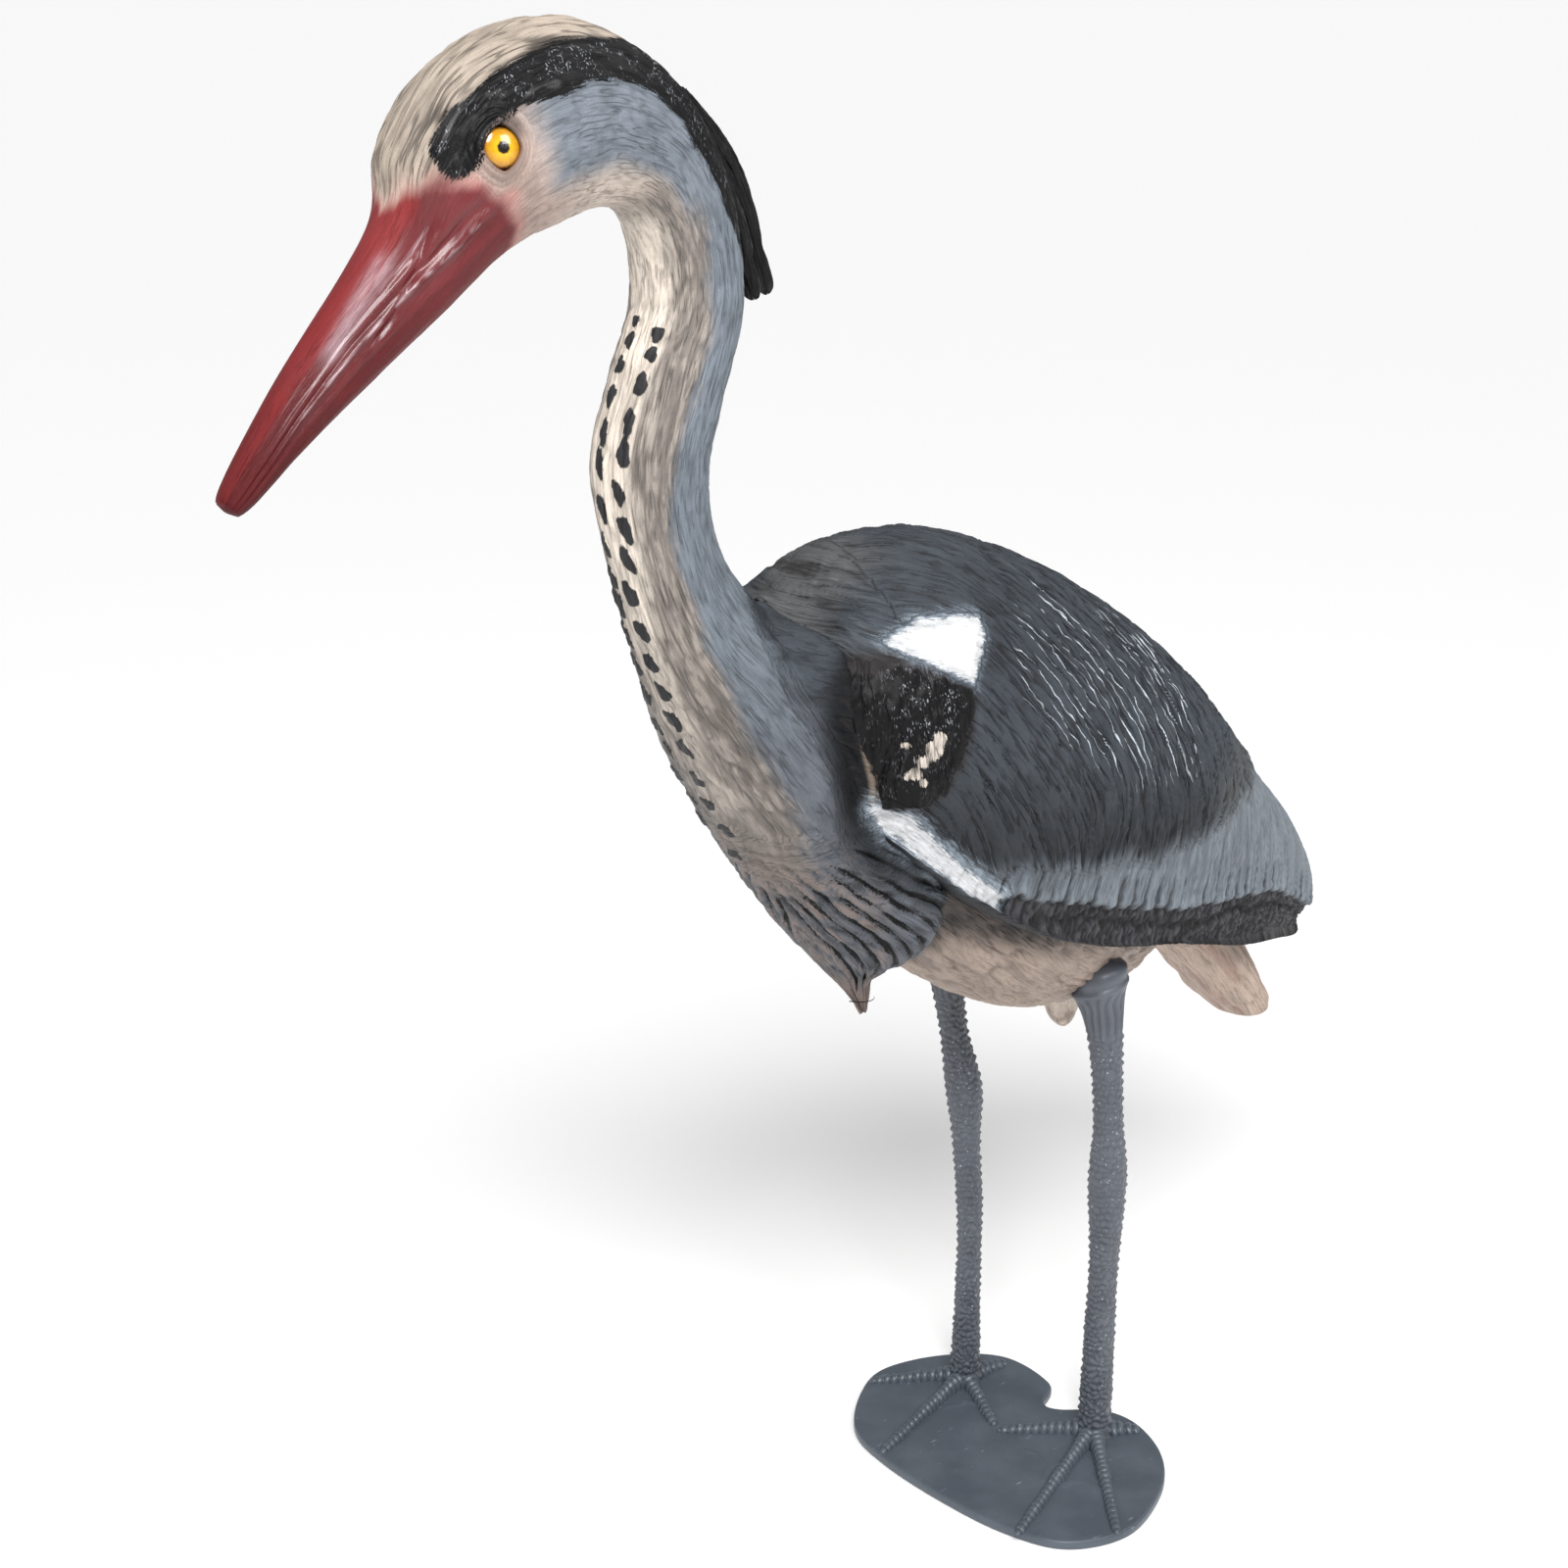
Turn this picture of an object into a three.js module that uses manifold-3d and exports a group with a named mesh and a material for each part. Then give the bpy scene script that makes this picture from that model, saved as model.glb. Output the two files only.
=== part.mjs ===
import * as THREE from "three";
import Module from "manifold-3d";

const wasm = await Module();
wasm.setup();
const { Manifold, Mesh } = wasm;

// Millimetres. The bird faces -Y, its left side is +X, and z = 0 is the underside of the base plate.
// The tables of stations are written for a bird 710 long on legs 258 high, and heights in them are
// counted from the top of the plate. They follow the two main sizes here.

const BIRD_LENGTH = 710; // level, from the tip of the bill to the ends of the wings
const LEG_HEIGHT = 258; // from the top of the plate to the rims of the legs' cups

const GROWTH = BIRD_LENGTH / 710;
const LEG_GROWTH = LEG_HEIGHT / 258;
const birdHeight = (z) => LEG_HEIGHT + (z - 258) * GROWTH;
const legHeight = (z) => z * LEG_GROWTH;

// Rows whose first columns are lengths; the heights among them go through their own rule.
function sized(rows, lengths, heights = [], height = birdHeight) {
  const size = (value, k) => (heights.includes(k) ? height(value) : value * GROWTH);
  return rows.map((row) => row.map((value, k) => (k < lengths ? size(value, k) : value)));
}

const SEAT_GAP = 0.3; // clearance between the separate pieces
const BODY_POINTS = 26; // points round a body section
const BACK_POINTS = 13; // points from the centre of the back down to a wing's edge
const LEG_POINTS = 14;
const TOE_POINTS = 8;
const STATION_STEPS = 2; // sections from one station to the next

const EYE_RADIUS = 8.3;
const EYE_DOME = 3.6; // how far the eye stands out of its rim
const EYE_SHANK = 5; // how deep its disc sits in the head
const EYE_FLAT = 0.6; // radius of the small flat at the top of the dome
const EYE_POINTS = 20; // points round the eye
const EYE_STEPS = 6; // sections up the dome
const [EYE_CENTRE] = sized([[27.2, -368.6, 695.2]], 3, [2]);
const EYE_AXIS = [0.95, -0.27, 0.14];

const PLATE_THICK = 5;
const PLATE_CHAMFER = 1.2;
const PLATE_OUTLINE_STEPS = 5; // facets between two control points of the outline

const TOE_WIDTH_ROOT = 11;
const TOE_WIDTH_TIP = 7;
const TOE_HEIGHT_ROOT = 7.5;
const TOE_HEIGHT_TIP = 3;
const TOE_SINK = 0.5; // how deep the widest line of a toe lies in the plate
const TOE_KEEL = 2; // how far its underside is rounded down from that line
const TOE_END = 0.5; // how far a toe is narrowed at its very tip
const TOE_STEPS = 5; // sections from the ankle to the tip
const ANKLE_RADIUS = 10.5;
const ANKLE_FLATNESS = 0.8; // height of the ankle's knob as a share of its width
const ANKLE_POINTS = 12;
const CUP_LIP = 0.8; // height of the even rim of a leg's cup
const CUP_STEP = 1; // rise from the rim to the stem
const PLUG_RADIUS = 10.5; // smooth stem above a leg's cup, inside the belly
const PLUG_HEIGHT = 36;

const STRAND_RADIUS = 5.4;
const STRAND_TIP_RADIUS = 3.8;
const STRAND_OFFSET = 5; // of each crest plume from the middle plane
const MOUTH_DEPTH = 1; // how far the mouth line is drawn into the bill
const MOUTH_PLACE = 0.31; // its place round the bill's section, as a share of a turn from the top
const PRIMARY_STEP = 2; // how far the long dark feathers lie under the edge of the ones above
const PRIMARY_POINTS = 2; // how many points of a wing's side are stepped in for them
const UNDERSIDE_STEPS = 6; // facets across the underside of the wings

// Bill, head, neck and breast, as stations from the bill's tip down to the lowest plume of the breast.
// Each one: centre y, centre z, half depth in the middle plane, half width, direction of the depth
// in degrees.
const NECK = sized([
  [-480, 570, 1.5, 1.5, 137], // tip of the bill
  [-476, 574, 6.5, 6.5, 137],
  [-445, 605, 12.5, 11.5, 133],
  [-392, 651.5, 22, 18.5, 135], // root of the bill
  [-376, 674, 32, 25, 139],
  [-353, 694, 39, 29, 121], // eyes
  [-324, 703, 39, 30, 98],
  [-297, 701, 34.5, 27, 76], // back of the crown
  [-269, 687, 27.5, 23, 50],
  [-253, 659, 24, 23, 16],
  [-250, 625, 24, 24, -6], // nape
  [-262, 592, 24.5, 24.5, -21],
  [-272, 560, 25, 25, -4], // foremost bend of the neck
  [-266, 523, 24, 24, 16],
  [-250, 488, 27.5, 30, 33],
  [-220, 449, 36, 51, 36], // between the shoulders
  [-188, 407, 40, 63, 33],
  [-161, 359, 36, 58, 27],
  [-144, 320, 27, 42, 18],
  [-139, 286, 9, 9, 8],
  [-137, 272, 1.5, 1.5, 4], // tip of the breast's plumes
], 4, [1]);
const BILL_STATIONS = 3; // how many stations the mouth line runs past

// Belly, rump and tail, front to back, in the same form.
const BELLY = sized([
  [-176, 381, 20, 34, 56],
  [-138, 363, 36, 52, 61],
  [-78, 332, 54, 62, 65],
  [-18, 301, 56, 58, 68],
  [50, 280, 44, 38, 73],
  [92, 273, 27, 25, 65],
  [120, 254, 21, 25, 53], // root of the tail
  [164, 208, 17, 24, 43],
  [184, 185, 10, 21, 41],
], 4, [1]);

// Back and both folded wings, front to back.
// Each station: y and z at the middle of the back, y and z at the lower edge, half width, sweep of the
// side in degrees (180 is a closed section), how steeply the back falls off from its middle (1 is an
// ellipse, less is narrower), and how far the underside is hollowed towards the back (0 to 1).
const WINGS = sized([
  [-207, 491, -207, 474, 6, 178, 0.8, 0],
  [-192, 494, -191, 417, 39, 163, 0.8, 0],
  [-168, 510, -189, 401, 59, 140, 0.82, 0],
  [-111, 511, -180, 382, 74, 119, 0.88, 0], // shoulders
  [-46, 491, -110, 330, 80, 110, 0.95, 0],
  [26, 454, -47, 301, 79, 107, 1, 0],
  [96, 405, 22, 282, 73, 104, 1, 0.1],
  [154, 347, 90, 261, 64, 101, 1, 0.33],
  [202, 302, 143, 247, 50, 100, 1, 0.5],
  [226, 266, 183, 236, 37, 100, 1, 0.48],
  [225, 244, 200, 238, 25, 100, 1, 0.4], // wing tips
], 5, [1, 3]);
const PRIMARY_STATION = 4; // the station where the long dark feathers begin to show

// The two loose crest plumes: side of the middle plane, then the y, z points of the centre line.
const STRANDS = [
  { side: 1, line: sized([[-254, 702], [-238, 682], [-226, 657], [-215, 625]], 2, [1]) },
  { side: -1, line: sized([[-250, 709], [-230, 692], [-215, 671], [-197, 625]], 2, [1]) },
];

// Small tuft under the belly, between the legs: y, z, half depth, half width, direction of the depth.
const TUFT = sized([
  [17, 251, 12, 13, 0],
  [18, 235, 10, 11, 0],
  [19, 223, 6, 7, 0],
  [20, 218, 2, 2.5, 0],
], 4, [1]);

// Legs from the ankle up: x, y, z, radius.
const LEG_LEFT = sized([
  [50, -3, 0, 8.6],
  [51, -3, 66, 7.8],
  [52, -3, 107, 7.4],
  [52, -3, 153, 9.6], // heel joint
  [51, -3, 185, 7.3],
  [48, -3, 222, 8],
  [44, -3, 248, 11],
  [42, -3, 258, 14.4], // rim of the cup
], 4, [2], legHeight);
const LEG_RIGHT = sized([
  [-37, -10, 0, 8.6],
  [-35, -12, 50, 7.2],
  [-33, -14, 103, 6.7],
  [-35, -16, 150, 7],
  [-37, -17, 182, 9.4], // heel joint
  [-44, -18, 213, 7],
  [-49, -19, 242, 9],
  [-51, -20, 259, 14.2], // rim of the cup
], 4, [2], legHeight);

// Feet: ankle, then the tips of the four toes on the plate.
const FEET = [
  sized([[50, -3], [13, -40], [83, -107], [118, -70], [67, 15]], 2),
  sized([[-37, -10], [-71, -52], [-17, -100], [8, -37], [-30, 17]], 2),
];

// Outline of the base plate, counter-clockwise seen from above.
const PLATE = sized([
  [-76, -35], [-68, -63], [-45, -92], [-14, -103], [30, -107.5], [73, -106], [105, -94], [120, -62],
  [110, -22], [90, 5], [62, 20], [40, 18], [22, 1.5], [12, 1], [1, 19], [-35, 23.5], [-62, 0],
], 2);

const radians = (degrees) => (degrees * Math.PI) / 180;

// A point between p1 and p2 on the smooth curve through four rows of equal length.
function between([p0, p1, p2, p3], t) {
  return p1.map((value, k) => {
    const slope = p2[k] - p0[k];
    const bend = 2 * p0[k] - 5 * value + 4 * p2[k] - p3[k];
    const twist = 3 * value - p0[k] - 3 * p2[k] + p3[k];
    return value + 0.5 * t * (slope + t * (bend + t * twist));
  });
}

// Rows through all stations, with more in between. A closed line goes on from its last station to its first.
function smooth(stations, steps, closed = false) {
  const n = stations.length;
  const rows = [];
  const pick = (i) => (closed ? stations[(i + n) % n] : stations[Math.min(Math.max(i, 0), n - 1)]);
  for (let i = 0; i < (closed ? n : n - 1); i++) {
    for (let j = 0; j < steps; j++) rows.push(between([i - 1, i, i + 1, i + 2].map(pick), j / steps));
  }
  if (!closed) rows.push(stations[n - 1]);
  return rows;
}

// A closed solid through rings of equal length, with a fan at each end.
function loft(rings) {
  const n = rings[0].length;
  const points = rings.flat();
  const faces = [];
  for (let i = 0; i + 1 < rings.length; i++) {
    for (let j = 0; j < n; j++) {
      const a = i * n + j;
      const b = i * n + ((j + 1) % n);
      faces.push([a, b, b + n], [a, b + n, a + n]);
    }
  }
  for (const [ring, flip] of [[0, true], [rings.length - 1, false]]) {
    const middle = [0, 1, 2].map((k) => rings[ring].reduce((sum, p) => sum + p[k], 0) / n);
    const centre = points.length;
    points.push(middle);
    for (let j = 0; j < n; j++) {
      const a = ring * n + j;
      const b = ring * n + ((j + 1) % n);
      faces.push(flip ? [centre, b, a] : [centre, a, b]);
    }
  }
  let volume = 0;
  for (const [a, b, c] of faces) {
    const [p, q, r] = [points[a], points[b], points[c]];
    volume += p[0] * (q[1] * r[2] - q[2] * r[1]);
    volume -= p[1] * (q[0] * r[2] - q[2] * r[0]);
    volume += p[2] * (q[0] * r[1] - q[1] * r[0]);
  }
  const outward = volume > 0 ? faces : faces.map(([a, b, c]) => [a, c, b]);
  return new Manifold(
    new Mesh({
      numProp: 3,
      vertProperties: new Float32Array(points.flat()),
      triVerts: new Uint32Array(outward.flat()),
    }),
  );
}

// Section of the neck or belly: an ellipse standing across the middle plane. On the bill, the point at the
// mouth line is drawn in on each side.
function bodyRing([y, z, depth, width, direction], mouth = 0) {
  const ring = [];
  const mouthPoint = Math.round(BODY_POINTS * MOUTH_PLACE);
  for (let j = 0; j < BODY_POINTS; j++) {
    const turn = (2 * Math.PI * j) / BODY_POINTS;
    const along = depth * Math.cos(turn);
    const drawn = Math.min(j, BODY_POINTS - j) === mouthPoint ? Math.min(mouth, width / 4) : 0;
    ring.push([
      (width - drawn) * Math.sin(turn),
      y + along * Math.cos(radians(direction)),
      z + along * Math.sin(radians(direction)),
    ]);
  }
  return ring;
}

// Section of the back and wings: over the back from edge to edge, then back along the underside.
// The last points of each side are stepped in, as the long feathers under the edge of the others.
function wingRing([topY, topZ, edgeY, edgeZ, width, sweep, fall, hollow], step) {
  const ring = [];
  const end = radians(sweep);
  for (let j = -BACK_POINTS; j <= BACK_POINTS; j++) {
    const turn = (end * j) / BACK_POINTS;
    const share = ((1 - Math.cos(turn)) / (1 - Math.cos(end))) ** fall;
    const half = width - (BACK_POINTS - Math.abs(j) < PRIMARY_POINTS ? step : 0);
    ring.push([half * Math.sin(turn), topY + (edgeY - topY) * share, topZ + (edgeZ - topZ) * share]);
  }
  const edge = (width - step) * Math.sin(end);
  for (let j = 1; j < UNDERSIDE_STEPS; j++) {
    const side = 1 - (2 * j) / UNDERSIDE_STEPS;
    const lift = hollow * (1 - side * side);
    ring.push([edge * side, edgeY + (topY - edgeY) * lift, edgeZ + (topZ - edgeZ) * lift]);
  }
  return ring;
}

// A level circle for a leg.
function levelRing([x, y, z, radius]) {
  const ring = [];
  for (let j = 0; j < LEG_POINTS; j++) {
    const turn = (2 * Math.PI * j) / LEG_POINTS;
    ring.push([x + radius * Math.cos(turn), y + radius * Math.sin(turn), z]);
  }
  return ring;
}

// One crest plume: a tapering tube whose sections stand across its line, with half the usual points.
function strand({ side, line }) {
  const points = smooth(line, STATION_STEPS);
  const last = points.length - 1;
  const rings = points.map(([y, z], i) => {
    const [y0, z0] = points[Math.max(i - 1, 0)];
    const [y1, z1] = points[Math.min(i + 1, last)];
    const direction = (Math.atan2(z1 - z0, y1 - y0) * 180) / Math.PI + 90;
    const radius = STRAND_RADIUS + (STRAND_TIP_RADIUS - STRAND_RADIUS) * (i / last);
    return bodyRing([y, z, radius, radius, direction]).filter((_, j) => j % 2 === 0);
  });
  return loft(rings).translate([STRAND_OFFSET * side, 0, 0]);
}

// A toe lying on the plate, from the ankle to its tip, with a rounded back.
function toe([ax, ay], [tx, ty]) {
  const length = Math.hypot(tx - ax, ty - ay);
  const along = [(tx - ax) / length, (ty - ay) / length];
  const rings = [];
  for (let i = 0; i <= TOE_STEPS; i++) {
    const share = i / TOE_STEPS;
    const half = (TOE_WIDTH_ROOT + (TOE_WIDTH_TIP - TOE_WIDTH_ROOT) * share) / 2;
    const height = TOE_HEIGHT_ROOT + (TOE_HEIGHT_TIP - TOE_HEIGHT_ROOT) * share;
    const end = i === TOE_STEPS ? TOE_END : 1;
    const ring = [];
    for (let j = 0; j < TOE_POINTS; j++) {
      const turn = (2 * Math.PI * j) / TOE_POINTS;
      const across = half * end * Math.cos(turn);
      const up = Math.sin(turn) * (Math.sin(turn) > 0 ? height * end : TOE_KEEL);
      ring.push([
        ax + (tx - ax) * share - along[1] * across,
        ay + (ty - ay) * share + along[0] * across,
        up - TOE_SINK,
      ]);
    }
    rings.push(ring);
  }
  return loft(rings);
}

// The plate's outline, smoothed through its control points and drawn in by the inset.
function plateOutline(inset) {
  const outline = smooth(PLATE, PLATE_OUTLINE_STEPS, true);
  const m = outline.length;
  return outline.map((p, i) => {
    const before = outline[(i + m - 1) % m];
    const after = outline[(i + 1) % m];
    const [dx, dy] = [after[0] - before[0], after[1] - before[1]];
    const length = Math.hypot(dx, dy);
    return [p[0] - (dy / length) * inset, p[1] + (dx / length) * inset];
  });
}

// The base plate, with a chamfer round its upper rim.
function plate() {
  const level = (inset, z) => plateOutline(inset).map(([x, y]) => [x, y, z]);
  return loft([level(0, -PLATE_THICK), level(0, -PLATE_CHAMFER), level(PLATE_CHAMFER, 0)]);
}

// A disc with a domed face, along EYE_AXIS for the left eye, mirrored for the right.
function eye(side, grow) {
  const radius = EYE_RADIUS + grow;
  const rings = [];
  const profile = [[-EYE_SHANK - grow, radius], [0, radius]];
  for (let i = 1; i < EYE_STEPS; i++) {
    const turn = (Math.PI / 2) * (i / EYE_STEPS);
    profile.push([(EYE_DOME + grow) * Math.sin(turn), radius * Math.cos(turn)]);
  }
  profile.push([EYE_DOME + grow, EYE_FLAT]);
  for (const [height, size] of profile) {
    const ring = [];
    for (let j = 0; j < EYE_POINTS; j++) {
      const turn = (2 * Math.PI * j) / EYE_POINTS;
      ring.push([size * Math.cos(turn), size * Math.sin(turn), height]);
    }
    rings.push(ring);
  }
  const axis = new THREE.Vector3(EYE_AXIS[0] * side, EYE_AXIS[1], EYE_AXIS[2]).normalize();
  const turned = new THREE.Quaternion().setFromUnitVectors(new THREE.Vector3(0, 0, 1), axis);
  const placed = rings.map((ring) =>
    ring.map((p) => {
      const v = new THREE.Vector3(...p).applyQuaternion(turned);
      return [v.x + EYE_CENTRE[0] * side, v.y + EYE_CENTRE[1], v.z + EYE_CENTRE[2]];
    }),
  );
  return loft(placed);
}

// One leg with its cup and the stem that enters the belly; grown by the seat gap where the body is cut.
function leg(stations, grow) {
  const [x, y, rimZ, rim] = stations[stations.length - 1];
  const shank = smooth(stations, STATION_STEPS).map(([px, py, pz, radius]) => [px, py, pz, radius + grow]);
  const rows = [
    [stations[0][0], stations[0][1], -PLATE_THICK / 2, stations[0][3] + grow],
    ...shank,
    [x, y, rimZ + CUP_LIP + grow, rim + grow],
    [x, y, rimZ + CUP_LIP + CUP_STEP + grow, PLUG_RADIUS + grow],
    [x, y, rimZ + PLUG_HEIGHT + grow, PLUG_RADIUS - 1 + grow],
  ];
  return loft(rows.map(levelRing));
}

// The parts below are made on top of the plate and lifted by its thickness at the end.
function makeStand() {
  const solids = [plate(), leg(LEG_LEFT, 0), leg(LEG_RIGHT, 0)];
  for (const [ankle, ...tips] of FEET) {
    const knob = Manifold.sphere(ANKLE_RADIUS, ANKLE_POINTS).scale([1, 1, ANKLE_FLATNESS]);
    solids.push(knob.translate([...ankle, 0]));
    for (const tip of tips) solids.push(toe(ankle, tip));
  }
  return Manifold.union(solids).trimByPlane([0, 0, 1], -PLATE_THICK);
}

function makeNeck() {
  const mouthRows = BILL_STATIONS * STATION_STEPS;
  return loft(smooth(NECK, STATION_STEPS).map((row, i) => bodyRing(row, i < mouthRows ? MOUTH_DEPTH : 0)));
}

function makeWings() {
  const firstRow = PRIMARY_STATION * STATION_STEPS;
  return loft(smooth(WINGS, STATION_STEPS).map((row, i) => wingRing(row, i < firstRow ? 0 : PRIMARY_STEP)));
}

function makeBody() {
  const solids = [makeNeck(), makeWings(), ...STRANDS.map(strand)];
  solids.push(loft(smooth(BELLY, STATION_STEPS).map((row) => bodyRing(row))));
  solids.push(loft(TUFT.map((row) => bodyRing(row))));
  let body = Manifold.union(solids);
  for (const side of [1, -1]) body = body.subtract(eye(side, SEAT_GAP));
  for (const stations of [LEG_LEFT, LEG_RIGHT]) body = body.subtract(leg(stations, SEAT_GAP));
  return body;
}

const group = new THREE.Group();

function add(name, solid, color, roughness) {
  const { vertProperties, triVerts, numProp } = solid.translate([0, 0, PLATE_THICK]).getMesh();
  const positions = new Float32Array((vertProperties.length / numProp) * 3);
  for (let i = 0; i < positions.length / 3; i++) {
    for (let k = 0; k < 3; k++) positions[i * 3 + k] = vertProperties[i * numProp + k];
  }
  const geometry = new THREE.BufferGeometry();
  geometry.setAttribute("position", new THREE.BufferAttribute(positions, 3));
  geometry.setIndex(new THREE.BufferAttribute(new Uint32Array(triVerts), 1));
  geometry.computeVertexNormals();
  const mesh = new THREE.Mesh(geometry, new THREE.MeshStandardMaterial({ color, roughness }));
  mesh.name = name;
  group.add(mesh);
}

add("body", makeBody(), 0x5a626c, 0.6);
add("eye_left", eye(1, 0), 0xe6a80c, 0.15);
add("eye_right", eye(-1, 0), 0xe6a80c, 0.15);
add("stand", makeStand(), 0x56606b, 0.5);

export default group;
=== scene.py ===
import math

import bpy
import numpy as np
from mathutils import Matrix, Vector
from mathutils.bvhtree import BVHTree
from mathutils.kdtree import KDTree


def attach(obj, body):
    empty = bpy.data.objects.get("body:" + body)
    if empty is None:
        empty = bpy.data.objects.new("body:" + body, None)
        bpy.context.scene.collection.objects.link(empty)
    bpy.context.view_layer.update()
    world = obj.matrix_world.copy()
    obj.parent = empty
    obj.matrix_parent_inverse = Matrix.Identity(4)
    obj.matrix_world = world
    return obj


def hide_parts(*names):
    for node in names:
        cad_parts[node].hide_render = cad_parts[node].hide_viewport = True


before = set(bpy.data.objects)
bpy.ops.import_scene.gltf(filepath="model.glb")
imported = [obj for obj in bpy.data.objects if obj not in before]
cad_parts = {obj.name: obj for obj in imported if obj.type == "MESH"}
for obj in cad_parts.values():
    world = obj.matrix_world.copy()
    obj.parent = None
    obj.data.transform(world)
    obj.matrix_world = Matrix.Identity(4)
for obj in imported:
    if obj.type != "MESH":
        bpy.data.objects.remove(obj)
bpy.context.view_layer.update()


# Lengths are millimetres until a mesh is made. The bird faces -Y and its left side is +X. Heights in the
# tables of stations are counted from the top of the base plate.
PLATE_THICK = 5
MM = 0.001

# Bill, head, neck and breast: centre y, centre z, half depth in the middle plane, half width, direction of
# the depth in degrees, from the bill's tip to the lowest plume of the breast.
NECK = [
    [-480, 570, 1.5, 1.5, 137],
    [-476, 574, 6.5, 6.5, 137],
    [-445, 605, 12.5, 11.5, 133],
    [-392, 651.5, 22, 18.5, 135],
    [-376, 674, 32, 25, 139],
    [-353, 694, 39, 29, 121],
    [-324, 703, 39, 30, 98],
    [-297, 701, 34.5, 27, 76],
    [-269, 687, 27.5, 23, 50],
    [-253, 659, 24, 23, 16],
    [-250, 625, 24, 24, -6],
    [-262, 592, 24.5, 24.5, -21],
    [-272, 560, 25, 25, -4],
    [-266, 523, 24, 24, 16],
    [-250, 488, 27.5, 30, 33],
    [-220, 449, 36, 51, 36],
    [-188, 407, 40, 63, 33],
    [-161, 359, 36, 58, 27],
    [-144, 320, 27, 42, 18],
    [-139, 286, 9, 9, 8],
    [-137, 272, 1.5, 1.5, 4],
]

# Belly, rump and tail, in the same form, front to back.
BELLY = [
    [-176, 381, 20, 34, 56],
    [-138, 363, 36, 52, 61],
    [-78, 332, 54, 62, 65],
    [-18, 301, 56, 58, 68],
    [50, 280, 44, 38, 73],
    [92, 273, 27, 25, 65],
    [120, 254, 21, 25, 53],
    [164, 208, 17, 24, 43],
    [184, 185, 10, 21, 41],
]

# Back and wings, front to back: y and z at the middle of the back, y and z at the lower edge, half width,
# sweep of the side in degrees, fall of the back, hollow of the underside.
WINGS = [
    [-207, 491, -207, 474, 6, 178, 0.8, 0],
    [-192, 494, -191, 417, 39, 163, 0.8, 0],
    [-168, 510, -189, 401, 59, 140, 0.82, 0],
    [-111, 511, -180, 382, 74, 119, 0.88, 0],
    [-46, 491, -110, 330, 80, 110, 0.95, 0],
    [26, 454, -47, 301, 79, 107, 1, 0],
    [96, 405, 22, 282, 73, 104, 1, 0.1],
    [154, 347, 90, 261, 64, 101, 1, 0.33],
    [202, 302, 143, 247, 50, 100, 1, 0.5],
    [226, 266, 183, 236, 37, 100, 1, 0.48],
    [225, 244, 200, 238, 25, 100, 1, 0.4],
]

# The two loose crest plumes: lateral place, then the y, z points of the centre line.
STRANDS = {
    "crest_plume_left": (5, [[-254, 702], [-238, 682], [-226, 657], [-215, 625]]),
    "crest_plume_right": (-5, [[-250, 709], [-230, 692], [-215, 671], [-197, 625]]),
}
STRAND_RADIUS = 5.4
STRAND_TIP_RADIUS = 3.8
STRAND_LENGTH = 88

# Tuft under the belly: y, z, half depth, half width, direction of the depth.
TUFT = [[17, 251, 12, 13, 0], [18, 235, 10, 11, 0], [19, 223, 6, 7, 0], [20, 218, 2, 2.5, 0]]

# Legs from the ankle up: x, y, z, radius.
LEGS = {
    "leg_left": [
        [50, -3, 0, 8.6], [51, -3, 66, 7.8], [52, -3, 107, 7.4], [52, -3, 153, 9.6], [51, -3, 185, 7.3],
        [48, -3, 222, 8], [44, -3, 248, 11], [42, -3, 258, 14.4],
    ],
    "leg_right": [
        [-37, -10, 0, 8.6], [-35, -12, 50, 7.2], [-33, -14, 103, 6.7], [-35, -16, 150, 7],
        [-37, -17, 182, 9.4], [-44, -18, 213, 7], [-49, -19, 242, 9], [-51, -20, 259, 14.2],
    ],
}
PLUG_RADIUS = 10.5
PLUG_HEIGHT = 36

# The rounded lip of the cup, over the last station of a leg: height, change of the radius.
LIP = [
    (1, 0.5), (2.2, 0.4), (3.2, -0.4), (4.4, -0.8), (6, -0.5), (8, -0.6), (10.5, -1.2), (13, -2.8),
    (15, -5.5),
]

# Feet: ankle, then the tips of the four toes.
FEET = {
    "foot_left": [[50, -3], [13, -40], [83, -107], [118, -70], [67, 15]],
    "foot_right": [[-37, -10], [-71, -52], [-17, -100], [8, -37], [-30, 17]],
}
TOE_WIDTHS = (11, 7)
TOE_HEIGHTS = (7.5, 3)
TOE_RING = 4.3
HIND_TOE = 3

# Outline of the base plate, counter-clockwise seen from above, and a point in its middle.
PLATE = [
    [-76, -35], [-68, -63], [-45, -92], [-14, -103], [30, -107.5], [73, -106], [105, -94], [120, -62],
    [110, -22], [90, 5], [62, 20], [40, 18], [22, 1.5], [12, 1], [1, 19], [-35, 23.5], [-62, 0],
]
PLATE_MIDDLE = [22, -45, PLATE_THICK]

# Low webs between the toes on the plate.
WEBS = [
    [(-23.1, -42), (-19, -34), (-20.9, -29.7), (-12, -27), (-6.4, -28.2)],
    [(70.2, -61.4), (71, -52), (74.3, -47), (82, -45), (89.7, -45.8)],
    [(35.5, -44.7), (41, -42.5), (48.3, -45.3), (56, -50), (60.9, -59)],
]

EYE_RADIUS = 8.3
EYE_DOME = 3.6
EYE_SHANK = 5
EYE_CENTRE = [27.2, -368.6, 695.2]
EYE_AXIS = [0.95, -0.27, 0.14]


def colour(red, green, blue):
    """A paint colour as seen on a sheet of swatches, 0 to 255, in linear light."""
    share = np.array([red, green, blue]) / 255
    return np.where(share > 0.04045, ((share + 0.055) / 1.055) ** 2.4, share / 12.92)


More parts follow.
